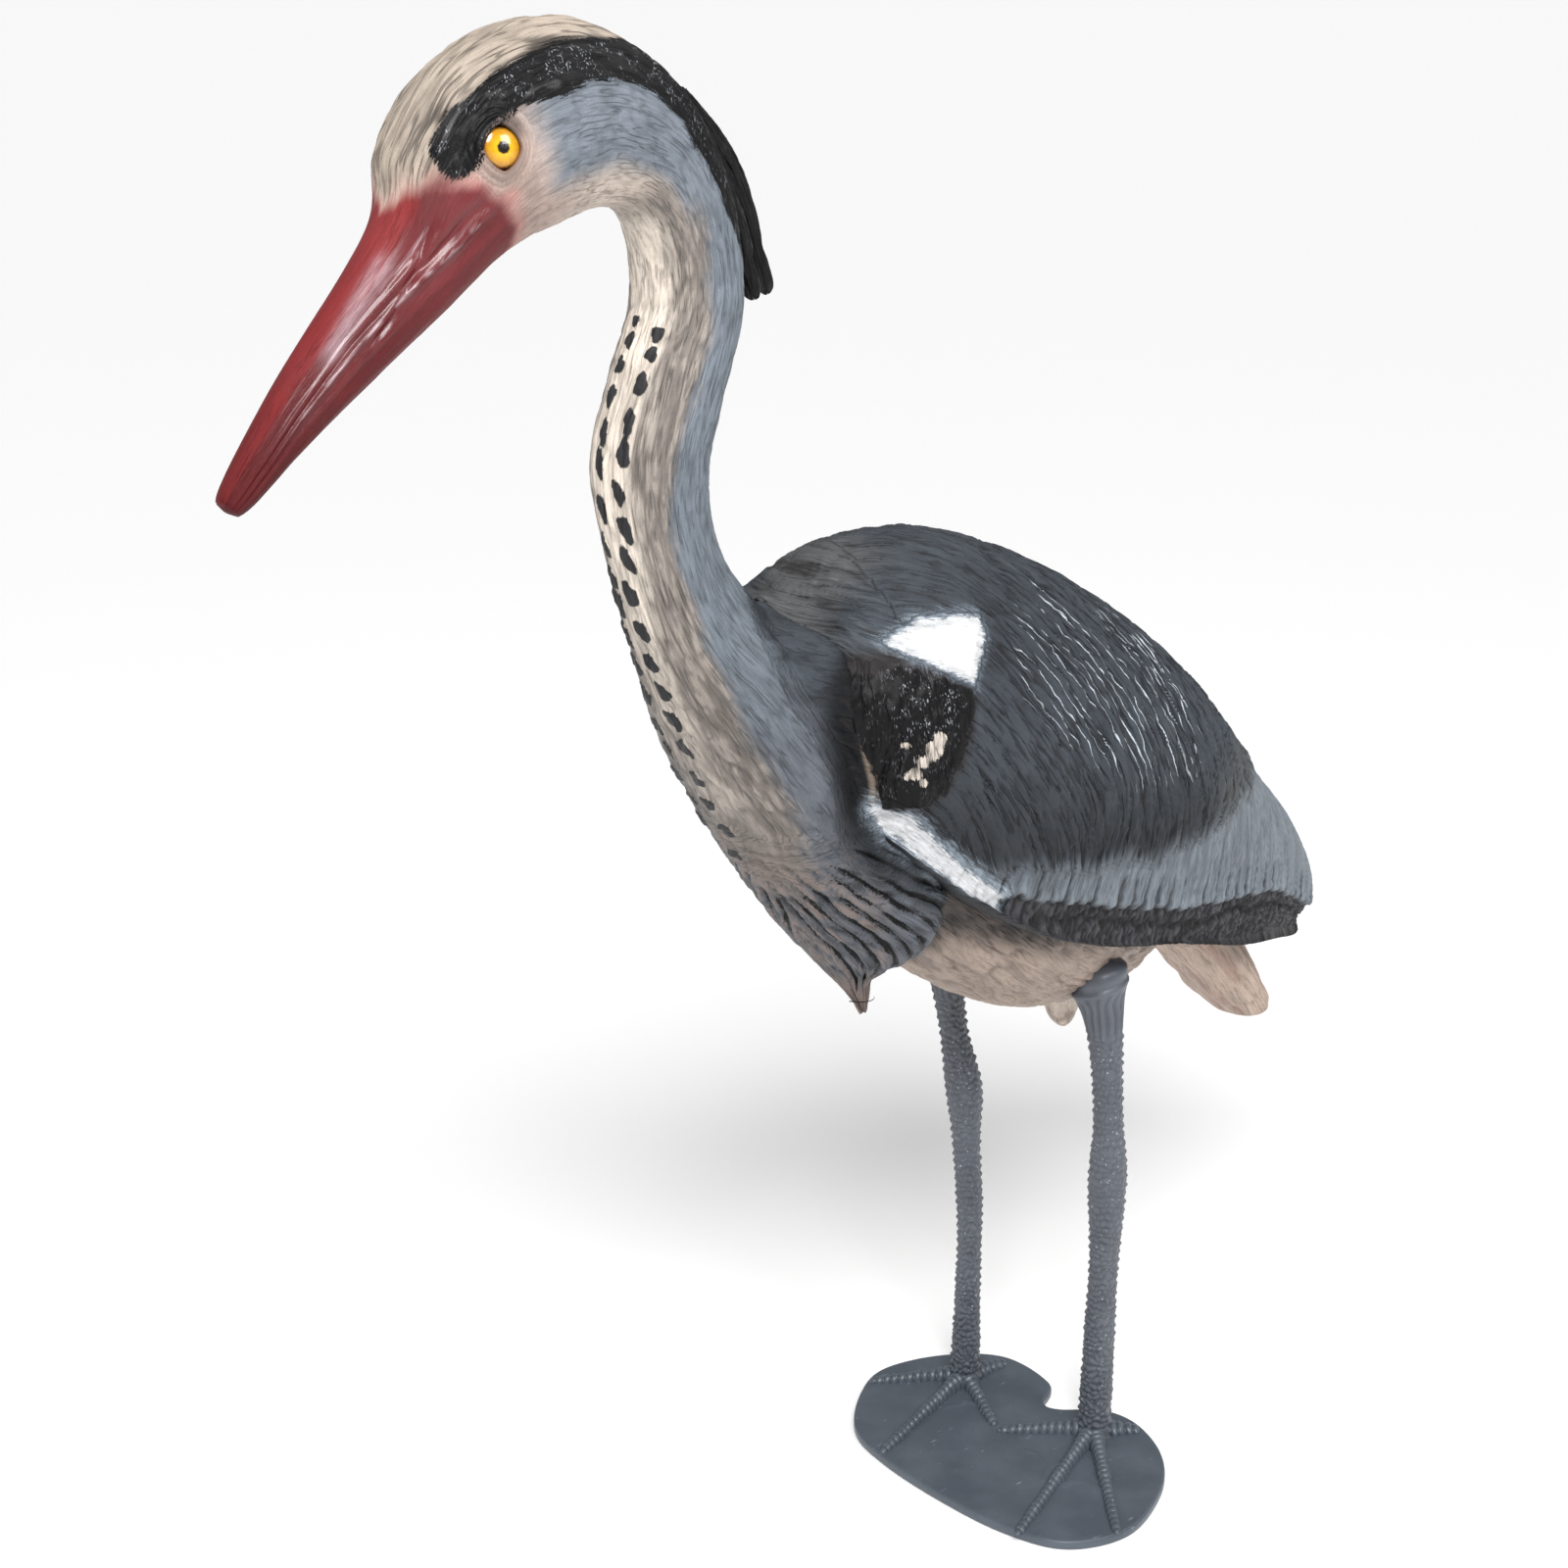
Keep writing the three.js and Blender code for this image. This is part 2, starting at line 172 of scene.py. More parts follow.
CREAM = colour(222, 211, 198)
CROWN = colour(170, 157, 144)
TAUPE = colour(131, 123, 117)
BELLY_BEIGE = colour(174, 155, 142)
PINK = colour(190, 128, 122)
SKIN = colour(168, 147, 138)
RED = colour(94, 29, 32)
# The lighter top of the bill: painted light, standing in for light falling on its rounded top.
LIT_CORAL = colour(118, 33, 35)
CHEEK_BLUE = colour(117, 124, 133)
NECK_BLUE = colour(116, 124, 133)
BREAST_BLUE = colour(95, 99, 106)
SLATE = colour(61, 66, 72)
MANTLE = colour(88, 88, 88)
WING_BLUE = colour(113, 120, 127)
SOOT = colour(11, 11, 13)
UMBER = colour(92, 92, 90)
UMBER_LIGHT = colour(132, 116, 108)
PRIMARY_GREY = colour(66, 66, 70)
CRESCENT = colour(117, 105, 94)
# A painted highlight: the pale sheen on the side of the bill.
BILL_PAINTED_SHEEN = colour(172, 146, 152)

# The bill's edge on the head: side in degrees from the middle of the crown, station.
BILL_ROOT = [(0, 3.15), (26, 3.37), (50, 3.73), (69, 3.97), (88, 4.17), (107, 4.23), (131, 4.13), (180, 3.7)]

# Edges of the black stripe, the slate breast and the pale front of the neck: station, side in degrees.
STRIPE_UPPER = [
    (4.0, 50), (4.15, 39), (4.5, 37), (4.8, 41), (5.6, 41), (6.2, 37), (6.7, 30), (7.2, 18), (7.6, -4),
]
STRIPE_LOWER = [
    (4.0, 60), (4.14, 67), (4.3, 71), (4.42, 68), (4.56, 61), (4.8, 62), (5.1, 66), (5.6, 72), (6.1, 68),
    (7.2, 66), (7.55, 70), (8, 78), (8.9, 76), (9.5, 50), (10, 22), (10.6, -8),
]
SLATE_EDGE = [
    (13.8, 35), (14, 48), (14.25, 63), (14.45, 73), (14.72, 84), (15.15, 90), (15.5, 97), (15.8, 108),
    (16.2, 118),
]
FLANK = [
    (8.5, 100), (10, 105), (12, 106), (13.5, 110), (14.3, 124), (15, 136), (15.6, 137), (16.5, 150),
    (18, 168),
]

# Depth of the plumage along the neck: station, depth.
PLUMAGE_DEPTH = [
    (3, 0.6), (4, 0.8), (6, 0.7), (8, 0.7), (9, 1.0), (13, 1.1), (15, 1.2), (17, 1.5), (19, 1.2),
]

# Patches, stripes and edges of the side view: y, z.
BLACK_PATCH = [
    (-176, 476), (-189, 470), (-199, 458), (-199, 434), (-196, 410), (-184, 407), (-172, 407), (-158, 420),
    (-147, 440), (-141, 455), (-156, 465), (-166, 471),
]
WHITE_PATCH = [
    (-178, 478.5), (-157, 486.5), (-136, 485), (-120, 482.5), (-122, 475), (-130, 467), (-139, 457),
    (-156, 467), (-168, 473.5),
]
WHITE_STRIPE = [(-191, 407), (-168, 384.5), (-148, 366.5), (-127, 351)]
LINED = [
    (-106, 444), (-96, 478), (-50, 488), (2, 470), (46, 436), (60, 404), (46, 374), (12, 374), (-24, 384),
    (-62, 402), (-92, 424),
]
COVERT_EDGE = [
    (-164, 378), (-130, 366), (-75, 354), (-10, 343), (40, 340), (93, 346), (139, 352), (175, 360),
]
SECONDARY_EDGE = [
    (-140, 352), (-114, 351), (-101, 345), (-56, 331), (-5, 314.5), (42, 303), (123, 289), (167, 270),
    (196, 256), (235, 240),
]
BELLY_TOP = [(-180, 340), (-100, 318), (-20, 298), (60, 272), (120, 250), (200, 190)]

# Chips of the paint on the black patch: y, z, radius.
CHIPS = [
    (-168.5, 432.5, 4.8), (-165, 437, 3.0), (-173.5, 428.5, 2.8), (-177, 423, 2.5), (-175, 419, 1.7),
    (-179, 436, 1.2),
]

# Rows of speckles on the front of the neck: first station, then station and turn in degrees down the row.
SPECKLE_ROWS = [
    (10.42, [(10.4, 155), (12.5, 163), (14, 180), (16.4, 193)]),
    (10.24, [(10.2, 187), (12.2, 190), (13.5, 203), (16.4, 213)]),
]
SPECKLE_COUNT = 18
SPECKLE_STEP = 0.352


# Noise and curves


def lattice(i, j, k, seed):
    """A repeatable number from -1 to 1 for each point of a lattice."""
    n = (i * 374761393 + j * 668265263 + k * 1103515245 + seed * 144269504) & 0xFFFFFFFF
    n = ((n ^ (n >> 13)) * 1274126177) & 0xFFFFFFFF
    n = ((n ^ (n >> 16)) * 1540483477) & 0xFFFFFFFF
    return (n ^ (n >> 15)) / 2147483648.0 - 1


def noise(x, y, z, seed):
    """Smooth noise from -1 to 1 that changes over about one unit."""
    values = np.broadcast_arrays(*(np.asarray(value, float) for value in (x, y, z)))
    cell = [np.floor(value).astype(np.int64) for value in values]
    part = [value - low for value, low in zip(values, cell)]
    part = [value * value * (3 - 2 * value) for value in part]
    total = 0
    for corner in range(8):
        steps = [(corner >> axis) & 1 for axis in range(3)]
        weight = 1
        for value, step in zip(part, steps):
            weight = weight * (value if step else 1 - value)
        total = total + weight * lattice(*(low + step for low, step in zip(cell, steps)), seed)
    return total


def rough(x, y, z, seed):
    """Noise of three scales."""
    total = noise(x, y, z, seed)
    total = total + 0.5 * noise(2.1 * x, 2.1 * y, 2.1 * z, seed + 1)
    return (total + 0.25 * noise(4.3 * x, 4.3 * y, 4.3 * z, seed + 2)) / 1.4


def strands(x, y, z, seed, narrow=2.6):
    """Rounded ridges with thin grooves between them, long in z: 0 in a groove, 1 on a ridge."""
    bend = 0.55 * noise(0.3 * x, 0.3 * y, 0.7 * z, seed + 3)
    wide = np.abs(noise(x + bend, y + bend, z, seed))
    fine = np.abs(noise(2.2 * x + bend, 2.2 * y - bend, 1.9 * z, seed + 1))
    return 0.62 * ease(wide * narrow) + 0.38 * ease(fine * narrow)


def ease(value):
    """0 to 1 with soft ends."""
    share = np.clip(value, 0, 1)
    return share * share * (3 - 2 * share)


def between(value, low, high):
    return ease((value - low) / (high - low))


def band(value, low, full, still_full, high):
    """1 in the middle of a band and 0 outside it."""
    return between(value, low, full) * between(value, high, still_full)


def bell(value, width):
    return np.exp(-((value / width) ** 2))


def lerp(first, second, share):
    return first + (second - first) * share


def blend(first, second, share):
    """A mix of two colours, with a share for each point."""
    return first + (second - first) * np.asarray(share)[..., None]


def layered(paint, *layers):
    """A paint under further layers, each a colour and its share at each point."""
    for over, share in layers:
        paint = blend(paint, over, share)
    return paint


def columns(*values):
    """Values brought to one shape and set side by side, as the parts of a vector or a face."""
    return np.stack(np.broadcast_arrays(*values), -1)


def track(value, *points):
    """Height of a line through the given (place, height) points."""
    places, heights = zip(*points)
    return np.interp(value, places, heights)


def whole(value):
    return value.astype(np.int64)


def smooth(table, at, closed=False):
    """Rows of the table at any station, on a smooth curve through all of them."""
    rows = np.array(table, float)
    n = len(rows)
    at = np.asarray(at, float)
    low = np.floor(at).astype(int)
    if not closed:
        low = np.clip(low, 0, n - 2)
    t = (at - low)[:, None]

    def pick(i):
        return rows[i % n] if closed else rows[np.clip(i, 0, n - 1)]

    p0, p1, p2, p3 = (pick(low + k) for k in (-1, 0, 1, 2))
    twist = 3 * p1 - p0 - 3 * p2 + p3
    return p1 + 0.5 * t * (p2 - p0 + t * (2 * p0 - 5 * p1 + 4 * p2 - p3 + t * twist))


def run_of(table, at, size=2):
    """Length of the curve from the first station to the given ones, in the first columns of the table."""
    fine = np.linspace(0, len(table) - 1, 2001)
    points = smooth(table, fine)[:, :size]
    steps = np.linalg.norm(np.diff(points, axis=0), axis=1)
    return np.interp(at, fine, np.concatenate([[0], np.cumsum(steps)]))


def evenly(table, *gaps, size=2):
    """Stations whose sections lie as far apart as the (station, gap) points say."""
    fine = np.linspace(0, len(table) - 1, 4001)
    length = run_of(table, fine, size)
    count = np.concatenate([[0], np.cumsum(np.diff(length) / track(fine, *gaps)[1:])])
    return np.interp(np.linspace(0, count[-1], int(count[-1]) + 2), count, fine)


# Surfaces


def round_turns(count):
    """Turns once round a section, in degrees, from the far side."""
    return np.linspace(-180, 180, count, endpoint=False)


def circle(count):
    """Turns once round a ring, in radians."""
    return np.linspace(0, 2 * math.pi, count, endpoint=False)


def rounded(share, start, length, least):
    """Radius of a rounded tip from 1 to nearly nothing, over the last part of a length."""
    return np.sqrt(np.clip(1 - ((share - start) / length).clip(0) ** 2, least, 1))


def body_grid(table, stations, turns):
    """Sections of the neck or belly: ellipses across the middle plane. Turn 0 is the upper or hind side."""
    y, z, depth, width, direction = smooth(table, stations).T[:, :, None]
    turn = np.radians(turns)[None]
    along = depth * np.cos(turn)
    lean = np.radians(direction)
    x = width * np.sin(turn)
    return columns(x, y + along * np.cos(lean), z + PLATE_THICK + along * np.sin(lean))


def wing_grid(stations, places, under):
    """Sections of the back and wings, from edge to edge over the back and then along the underside."""
    rows = smooth(WINGS, stations).T[:, :, None]
    top_y, top_z, edge_y, edge_z, width, sweep, fall, hollow = rows
    end = np.radians(sweep)
    turn = end * places[None]
    share = ((1 - np.cos(turn)) / (1 - np.cos(end))) ** fall
    upper = columns(width * np.sin(turn), lerp(top_y, edge_y, share), lerp(top_z, edge_z, share))
    side = np.linspace(1, -1, under + 2)[None, 1:-1]
    lift = hollow * (1 - side * side)
    lower = columns(width * np.sin(end) * side, lerp(edge_y, top_y, lift), lerp(edge_z, top_z, lift))
    return np.concatenate([upper, lower], 1) + [0, 0, PLATE_THICK]


def push(grid, height):
    """The closed surface moved out along its normals."""
    along = np.gradient(grid, axis=0)
    across = np.roll(grid, -1, 1) - np.roll(grid, 1, 1)
    normal = np.cross(along, across)
    normal /= np.maximum(np.linalg.norm(normal, axis=-1, keepdims=True), 1e-9)
    normal *= np.sign(((grid - grid.mean(1, keepdims=True)) * normal).sum())
    return grid + normal * np.asarray(height)[..., None]


def faces_of(rows, count):
    i, j = np.meshgrid(np.arange(rows - 1), np.arange(count), indexing="ij")
    first = i * count + j
    second = i * count + (j + 1) % count
    return columns(first, second, second + count, first + count).reshape(-1, 4)


NO_TRIANGLES = np.zeros((0, 3), int)

# Attributes that are vectors, and the signed distance given where a paint with an edge is nowhere near.
VECTORS = ("paint", "flow", "around")
FAR_OFF = -20.0


def spread(key, values, grid):
    """An attribute for every point of a grid, also from a constant or from one value for each ring."""
    return np.broadcast_to(values, grid.shape if key in VECTORS else grid.shape[:2])


def add_object(name, data):
    piece = bpy.data.objects.new(name, data)
    bpy.context.scene.collection.objects.link(piece)
    return piece


def add_mesh(name, points, quads, triangles, attributes):
    """A mesh from points in millimetres, with its attributes."""
    mesh = bpy.data.meshes.new(name)
    mesh.vertices.add(len(points))
    mesh.vertices.foreach_set("co", (points * MM).astype(np.float32).ravel())
    corners = np.concatenate([quads.ravel(), triangles.ravel()]).astype(np.int32)
    totals = np.concatenate([np.full(len(quads), 4), np.full(len(triangles), 3)]).astype(np.int32)
    starts = np.concatenate([[0], np.cumsum(totals)[:-1]]).astype(np.int32)
    mesh.loops.add(len(corners))
    mesh.loops.foreach_set("vertex_index", corners)
    mesh.polygons.add(len(totals))
    mesh.polygons.foreach_set("loop_start", starts)
    mesh.polygons.foreach_set("loop_total", totals)
    mesh.update(calc_edges=True)
    mesh.polygons.foreach_set("use_smooth", np.ones(len(totals), bool))
    for key, values in attributes.items():
        values = np.asarray(values, np.float32)
        kind, field = ("FLOAT", "value") if values.ndim == 1 else ("FLOAT_VECTOR", "vector")
        if key == "paint":
            kind, field = "FLOAT_COLOR", "color"
            values = np.concatenate([values, np.ones((len(values), 1), np.float32)], 1)
        mesh.attributes.new(key, kind, "POINT").data.foreach_set(field, values.ravel())
    mesh.update()
    return add_object(name, mesh)


def outward(points, quads, triangles):
    """The same faces, turned round if they face inward."""
    corners = np.concatenate([quads[:, [0, 1, 2]], quads[:, [0, 2, 3]], triangles])
    a, b, c = (points[corners[:, k]] for k in range(3))
    if (np.cross(a, b) * c).sum() < 0:
        return quads[:, ::-1], triangles[:, ::-1]
    return quads, triangles


def dress(piece, node, material):
    piece.data.materials.append(material)
    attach(piece, "root")
    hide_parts(node)


def add_tube(name, grid, part, material, **attributes):
    """A closed piece of a part through rings of points, with a fan at each end."""
    rows, count = grid.shape[:2]
    points = np.concatenate([grid.reshape(-1, 3), grid[[0, -1]].mean(1)])
    ring = np.arange(count)
    after = (ring + 1) % count
    last = (rows - 1) * count
    fans = [columns(rows * count, after, ring), columns(rows * count + 1, last + ring, last + after)]
    quads, triangles = outward(points, faces_of(rows, count), np.concatenate(fans))
    looks = {}
    for key, values in attributes.items():
        values = spread(key, values, grid)
        looks[key] = np.concatenate([values.reshape(-1, *values.shape[2:]), values[[0, -1]].mean(1)])
    dress(add_mesh(name, points, quads, triangles, looks), part, material)


def tree_of(grid):
    """A search tree of the sides of a closed surface, in millimetres."""
    points = grid.reshape(-1, 3)
    quads, _ = outward(points, faces_of(*grid.shape[:2]), NO_TRIANGLES)
    return BVHTree.FromPolygons(points.tolist(), quads.tolist())


def distance_to(tree, grid, reach):
    """Signed distance of each point from the surface, positive outside and no more than the reach."""
    found = np.full(grid.size // 3, float(reach))
    for i, point in enumerate(grid.reshape(-1, 3).tolist()):
        place, normal, _, gap = tree.find_nearest(point, reach)
        if place is not None:
            found[i] = gap if (Vector(point) - place).dot(normal) > 0 else -gap
    return found.reshape(grid.shape[:-1])


def inside(y, z, corners):
    """Signed distance from a polygon in the side view, positive inside."""
    edge, _ = along_line(y, z, corners + corners[:1])
    odd = np.zeros(y.shape, bool)
    for (y0, z0), (y1, z1) in zip(corners, corners[1:] + corners[:1]):
        if z1 != z0:
            odd ^= ((z0 > z) != (z1 > z)) & (y < y0 + (z - z0) * (y1 - y0) / (z1 - z0))
    return np.where(odd, edge, -edge)


def along_line(y, z, points):
    """Distance from a line in the side view, and how far along it the nearest point is."""
    best = np.full(y.shape, 1e9)
    place = np.zeros(y.shape)
    run = 0
    for (y0, z0), (y1, z1) in zip(points, points[1:]):
        dy, dz = y1 - y0, z1 - z0
        length = math.hypot(dy, dz)
        share = np.clip(((y - y0) * dy + (z - z0) * dz) / length**2, 0, 1)
        gap = np.hypot(y - y0 - share * dy, z - z0 - share * dz)
        place = np.where(gap < best, run + share * length, place)
        best = np.minimum(best, gap)
        run += length
    return best, place


def below(y, z, line):
    """How far a point of the side view lies below a line that runs tailward."""
    return track(y, *line) - z


def body_looks(grid, paint, relief, **given):
    """The attributes of a plain painted surface, with some of them given."""
    looks = dict.fromkeys(("black", "white", "chip", "mark"), FAR_OFF)
    looks.update(dict.fromkeys(("lined", "glint", "wet"), 0.0))
    looks.update(gloss=0.1, wash=0.4, carve=0.5, paint=paint, relief=relief, flow=grid / 3)
    looks.update(given)
    return looks


# Materials


class Nodes:
    """Short names for the shader nodes of one material."""

    def __init__(self, name):
        self.material = bpy.data.materials.new(name)
        self.material.use_nodes = True
        self.tree = self.material.node_tree
        self.tree.nodes.clear()
        self.shader = self.add("BsdfPrincipled")
        self.add("OutputMaterial", self.shader.outputs[0])

    def add(self, kind, *values, **settings):
        """A node of the given kind, with its settings and the values of its first sockets."""
        node = self.tree.nodes.new("ShaderNode" + kind)
        for key, value in settings.items():
            setattr(node, key, value)
        for socket, value in zip(node.inputs, values):
            self.put(socket, value)
        return node

    def put(self, socket, value):
        if isinstance(value, bpy.types.NodeSocket):
            self.tree.links.new(value, socket)
        elif hasattr(socket.default_value, "__len__") and np.size(value) == 3:
            size = len(socket.default_value)
            socket.default_value = (list(value) + [1.0])[:size]
        else:
            socket.default_value = value

    def set(self, **values):
        for key, value in values.items():
            self.put(self.shader.inputs[key.replace("_", " ")], value)

    def attribute(self, name, output="Fac"):
        return self.add("Attribute", attribute_name=name).outputs[output]

    def math(self, operation, *values):
        return self.add("Math", *values, operation=operation).outputs[0]

    def times(self, first, second):
        return self.math("MULTIPLY", first, second)

    def plus(self, first, second):
        return self.math("ADD", first, second)

    def minus(self, first, second):
        return self.math("SUBTRACT", first, second)

    def scaled(self, vector, factors):
        return self.add("VectorMath", vector, factors, operation="MULTIPLY").outputs[0]

    def noise(self, vector, scale, detail, roughness):
        node = self.add("TexNoise", vector)
        for key, value in (("Scale", scale), ("Detail", detail), ("Roughness", roughness)):
            node.inputs[key].default_value = value
        return node.outputs["Fac"]

    def span(self, value, low, high, to_low=0.0, to_high=1.0):
        node = self.add("MapRange", value, low, high, to_low, to_high, interpolation_type="SMOOTHSTEP")
        return node.outputs[0]

    def mix(self, share, first, second, kind="MIX"):
        node = self.add("Mix", share, data_type="RGBA", blend_type=kind)
        self.put(node.inputs[6], first)
        self.put(node.inputs[7], second)
        return node.outputs[2]

    def coats(self, base, *layers):
        """A colour under further coats, each a share and a colour."""
        for share, over in layers:
            base = self.mix(share, base, over)
        return base

    def bump(self, height, distance, strength, under=None):
        node = self.add("Bump")
        node.inputs["Distance"].default_value = distance * MM
        node.inputs["Strength"].default_value = strength
        self.put(node.inputs["Height"], height)
        if under is not None:
            self.put(node.inputs["Normal"], under)
        return node.outputs[0]

    def place(self):
        return self.add("TexCoord").outputs["Object"]

    def grey(self, value):
        return self.add("CombineColor", value, value, value).outputs[0]

    def off_middle(self, value):
        return self.math("ABSOLUTE", self.minus(value, 0.5))

    def cuts(self, flow, strength):
        """Thin cuts along the plumage: 1 at the bottom of each."""
        near = self.off_middle(self.noise(self.scaled(flow, (1.3, 1.3, 0.8)), 1.0, 1.0, 0.4))
        here = self.span(self.noise(self.scaled(flow, (0.7, 0.7, 0.8)), 1.0, 1.0, 0.5), 0.4, 0.54)
        return self.times(self.span(near, 0.0, 0.11, 1.0, 0.0), self.times(here, strength))

    def brush_lines(self, flow, field):
        """Thin broken lines of paint along the plumage, two units of the flow apart."""
        across, lateral, along = self.add("SeparateXYZ", flow).outputs
        wobble = self.noise(self.scaled(flow, (0.25, 1.0, 0.8)), 1.0, 2.0, 0.6)
        lane = self.plus(self.times(across, 0.5), self.span(wobble, 0.25, 0.75, -0.28, 0.28))
        near = self.off_middle(self.math("FRACT", lane))
        number = self.math("FLOOR", lane)
        spot = self.add("CombineXYZ", self.times(number, 3.7), lateral, self.times(along, 0.3))
        shown = self.span(self.noise(spot.outputs[0], 1.0, 1.0, 0.5), 0.41, 0.46)
        worn = self.noise(self.scaled(flow, (3.0, 3.0, 9.0)), 1.0, 2.0, 0.6)
        line = self.times(self.span(near, 0.028, 0.05, 1.0, 0.0), self.span(worn, 0.3, 0.44))
        return self.times(self.times(line, shown), field)


def painted():
    """Hand-painted plastic: soft colours from the paint attribute, then the paints with an edge."""
    n = Nodes("painted_plastic")
    flow = n.attribute("flow", "Vector")
    place = n.place()
    fine = n.noise(n.scaled(flow, (4.6, 4.6, 1.5)), 1.0, 3.0, 0.6)
    speck = n.noise(place, 900.0, 2.0, 0.6)
    cloud = n.noise(place, 45.0, 3.0, 0.5)
    cut = n.cuts(flow, n.attribute("carve"))
    relief = n.attribute("relief")
    jitter = n.plus(n.span(fine, 0.3, 0.7, -1.3, 1.3), n.span(speck, 0.3, 0.7, -0.5, 0.5))

    def edged(field, share, low, high):
        """Where a paint with an uneven edge lies, from its field of signed distance."""
        return n.span(n.plus(field, n.times(jitter, share)), low, high)

    white = n.attribute("white")
    # Painted shade: the white is greyer near its edges and in the narrow stripe, which faces down, and whiter
    # deep inside the patch.
    shaded_white = n.mix(n.span(white, 1.6, 4.0), colour(196, 197, 199), colour(230, 231, 232))
    chip = edged(n.attribute("chip"), 0.4, -0.3, 0.3)
    base = n.coats(
        n.attribute("paint", "Color"),
        (n.times(edged(white, 1.0, -4.5, 0.5), 0.65), colour(144, 156, 168)),
        (edged(white, 0.5, -0.8, 0.7), shaded_white),
        (n.brush_lines(flow, n.attribute("lined")), colour(196, 205, 213)),
        (chip, colour(196, 186, 175)),
        (edged(n.attribute("mark"), 0.12, -0.2, 0.25), colour(48, 48, 50)),
    )

    # Unevenness of the paint, painted shade (darker in the grooves of the relief and at the bottom of the
    # cuts, lighter on the ridges), and dark paint left in the grooves.
    tone = n.plus(n.span(fine, 0.3, 0.7, 0.86, 1.12), n.span(cloud, 0.3, 0.7, -0.06, 0.06))
    tone = n.plus(tone, n.span(speck, 0.35, 0.7, -0.05, 0.05))
    shade = n.times(tone, n.span(relief, 0.1, 1.0, 0.86, 1.06))
    shade = n.times(shade, n.span(cut, 0.0, 1.0, 1.0, 0.5))
    base = n.mix(1.0, base, n.grey(shade), "MULTIPLY")
    groove = n.minus(1.0, n.plus(relief, n.span(fine, 0.3, 0.7, -0.1, 0.1)))
    groove = n.times(n.span(groove, 0.45, 0.95), n.attribute("wash"))

    # Black paint, then painted sparks of light on the black paint and painted highlights (glints) on the
    # bill.
    black = n.minus(n.plus(n.attribute("black"), jitter), n.times(chip, 40.0))
    spark = n.span(n.noise(n.scaled(place, (1400.0, 1400.0, 360.0)), 1.0, 1.0, 0.5), 0.6, 0.67)
    spark = n.times(spark, n.span(n.noise(place, 150.0, 2.0, 0.5), 0.44, 0.6))
    base = n.coats(
        base,
        (groove, colour(38, 35, 35)),
        (n.span(black, -0.7, 0.7), SOOT),
        (n.times(spark, n.attribute("wet")), colour(150, 152, 158)),
        (n.times(n.span(fine, 0.36, 0.6), n.attribute("glint")), colour(216, 196, 202)),
    )

    gloss = n.attribute("gloss")
    roughness = n.plus(n.span(gloss, 0.0, 1.0, 0.5, 0.2), n.span(cloud, 0.3, 0.7, -0.05, 0.05))
    n.set(Base_Color=base, Roughness=roughness, Specular_IOR_Level=0.2)
    n.set(Coat_Weight=n.span(gloss, 0.2, 1.0, 0.0, 0.8), Coat_Roughness=0.16)
    rise = n.bump(fine, 0.4, 0.6, n.bump(n.minus(1.0, cut), 0.55, 0.9))
    n.set(Normal=n.bump(speck, 0.12, 0.4, rise))
    return n.material


def moulded(name, low, high):
    """Satin slate plastic of the legs, feet and base plate, between two tones."""
    n = Nodes(name)
    place = n.place()
    speck = n.noise(place, 700.0, 3.0, 0.6)
    cloud = n.noise(place, 38.0, 4.0, 0.55)
    scuff = n.noise(n.scaled(place, (1.0, 0.35, 1.0)), 330.0, 2.0, 0.7)
    spark = n.span(n.noise(place, 520.0, 1.0, 0.5), 0.68, 0.74)
    base = n.coats(
        low,
        (n.span(cloud, 0.35, 0.7), high),
        # Painted shade: darker in the hollows of the relief.
        (n.span(n.attribute("relief"), 0.0, 0.9, 0.6, 0.0), colour(40, 45, 51)),
        # Painted glints: small light spots of highlight.
        (n.times(spark, n.attribute("sparkle")), colour(150, 158, 168)),
        (n.times(n.span(scuff, 0.66, 0.82), n.attribute("dust")), colour(128, 138, 148)),
    )
    roughness = n.plus(n.span(cloud, 0.3, 0.7, 0.28, 0.42), n.span(scuff, 0.5, 0.8, 0.0, 0.12))
    n.set(Base_Color=base, Roughness=roughness, Specular_IOR_Level=0.5)
    n.set(Normal=n.bump(speck, 0.1, 0.4, n.bump(cloud, 0.5, 0.3)))
    return n.material


def eyeball():
    """Glossy amber eye: a dark pupil, an amber iris that darkens at its rim."""
    n = Nodes("amber_eye")
    rays = n.noise(n.attribute("around", "Vector"), 3.0, 3.0, 0.6)
    place = n.plus(n.attribute("rho"), n.span(rays, 0.3, 0.7, -0.25, 0.25))
    iris = n.mix(n.span(place, 2.2, 6.6), colour(222, 174, 14), colour(188, 126, 5))
    iris = n.mix(n.span(rays, 0.42, 0.7, 0.0, 0.3), iris, colour(238, 198, 44))
    iris = n.mix(n.span(place, 6.2, 7.6), iris, colour(70, 40, 10))
    base = n.mix(n.span(place, 2.1, 2.7), colour(20, 12, 8), iris)
    n.set(Base_Color=base, Roughness=0.16, Coat_Weight=0.9, Coat_Roughness=0.03)
    n.set(Normal=n.bump(rays, 0.15, 0.3))
    return n.material


PAINTED = painted()
LEG_PLASTIC = moulded("leg_plastic", colour(80, 84, 92), colour(93, 98, 106))
PLATE_PLASTIC = moulded("plate_plastic", colour(72, 80, 89), colour(82, 90, 99))
AMBER = eyeball()


# Bill, head, neck and breast


def shoulder_reach(x, z):
    """How widely the neck and the back run into each other: widely at the shoulder, hardly below it."""
    middle = track(z, (395, 3), (425, 4), (445, 8), (470, 14), (500, 14), (530, 12))
    return middle + 34 * between(np.abs(x), 10, 34) * bell(z - 480, 26)


def calm_joint(gap, z):
    """Where the relief fades out along the joint between the root of the neck and the top of the back."""
    return 0.85 * between(np.abs(gap), 7, 3) * between(z, 484, 492)


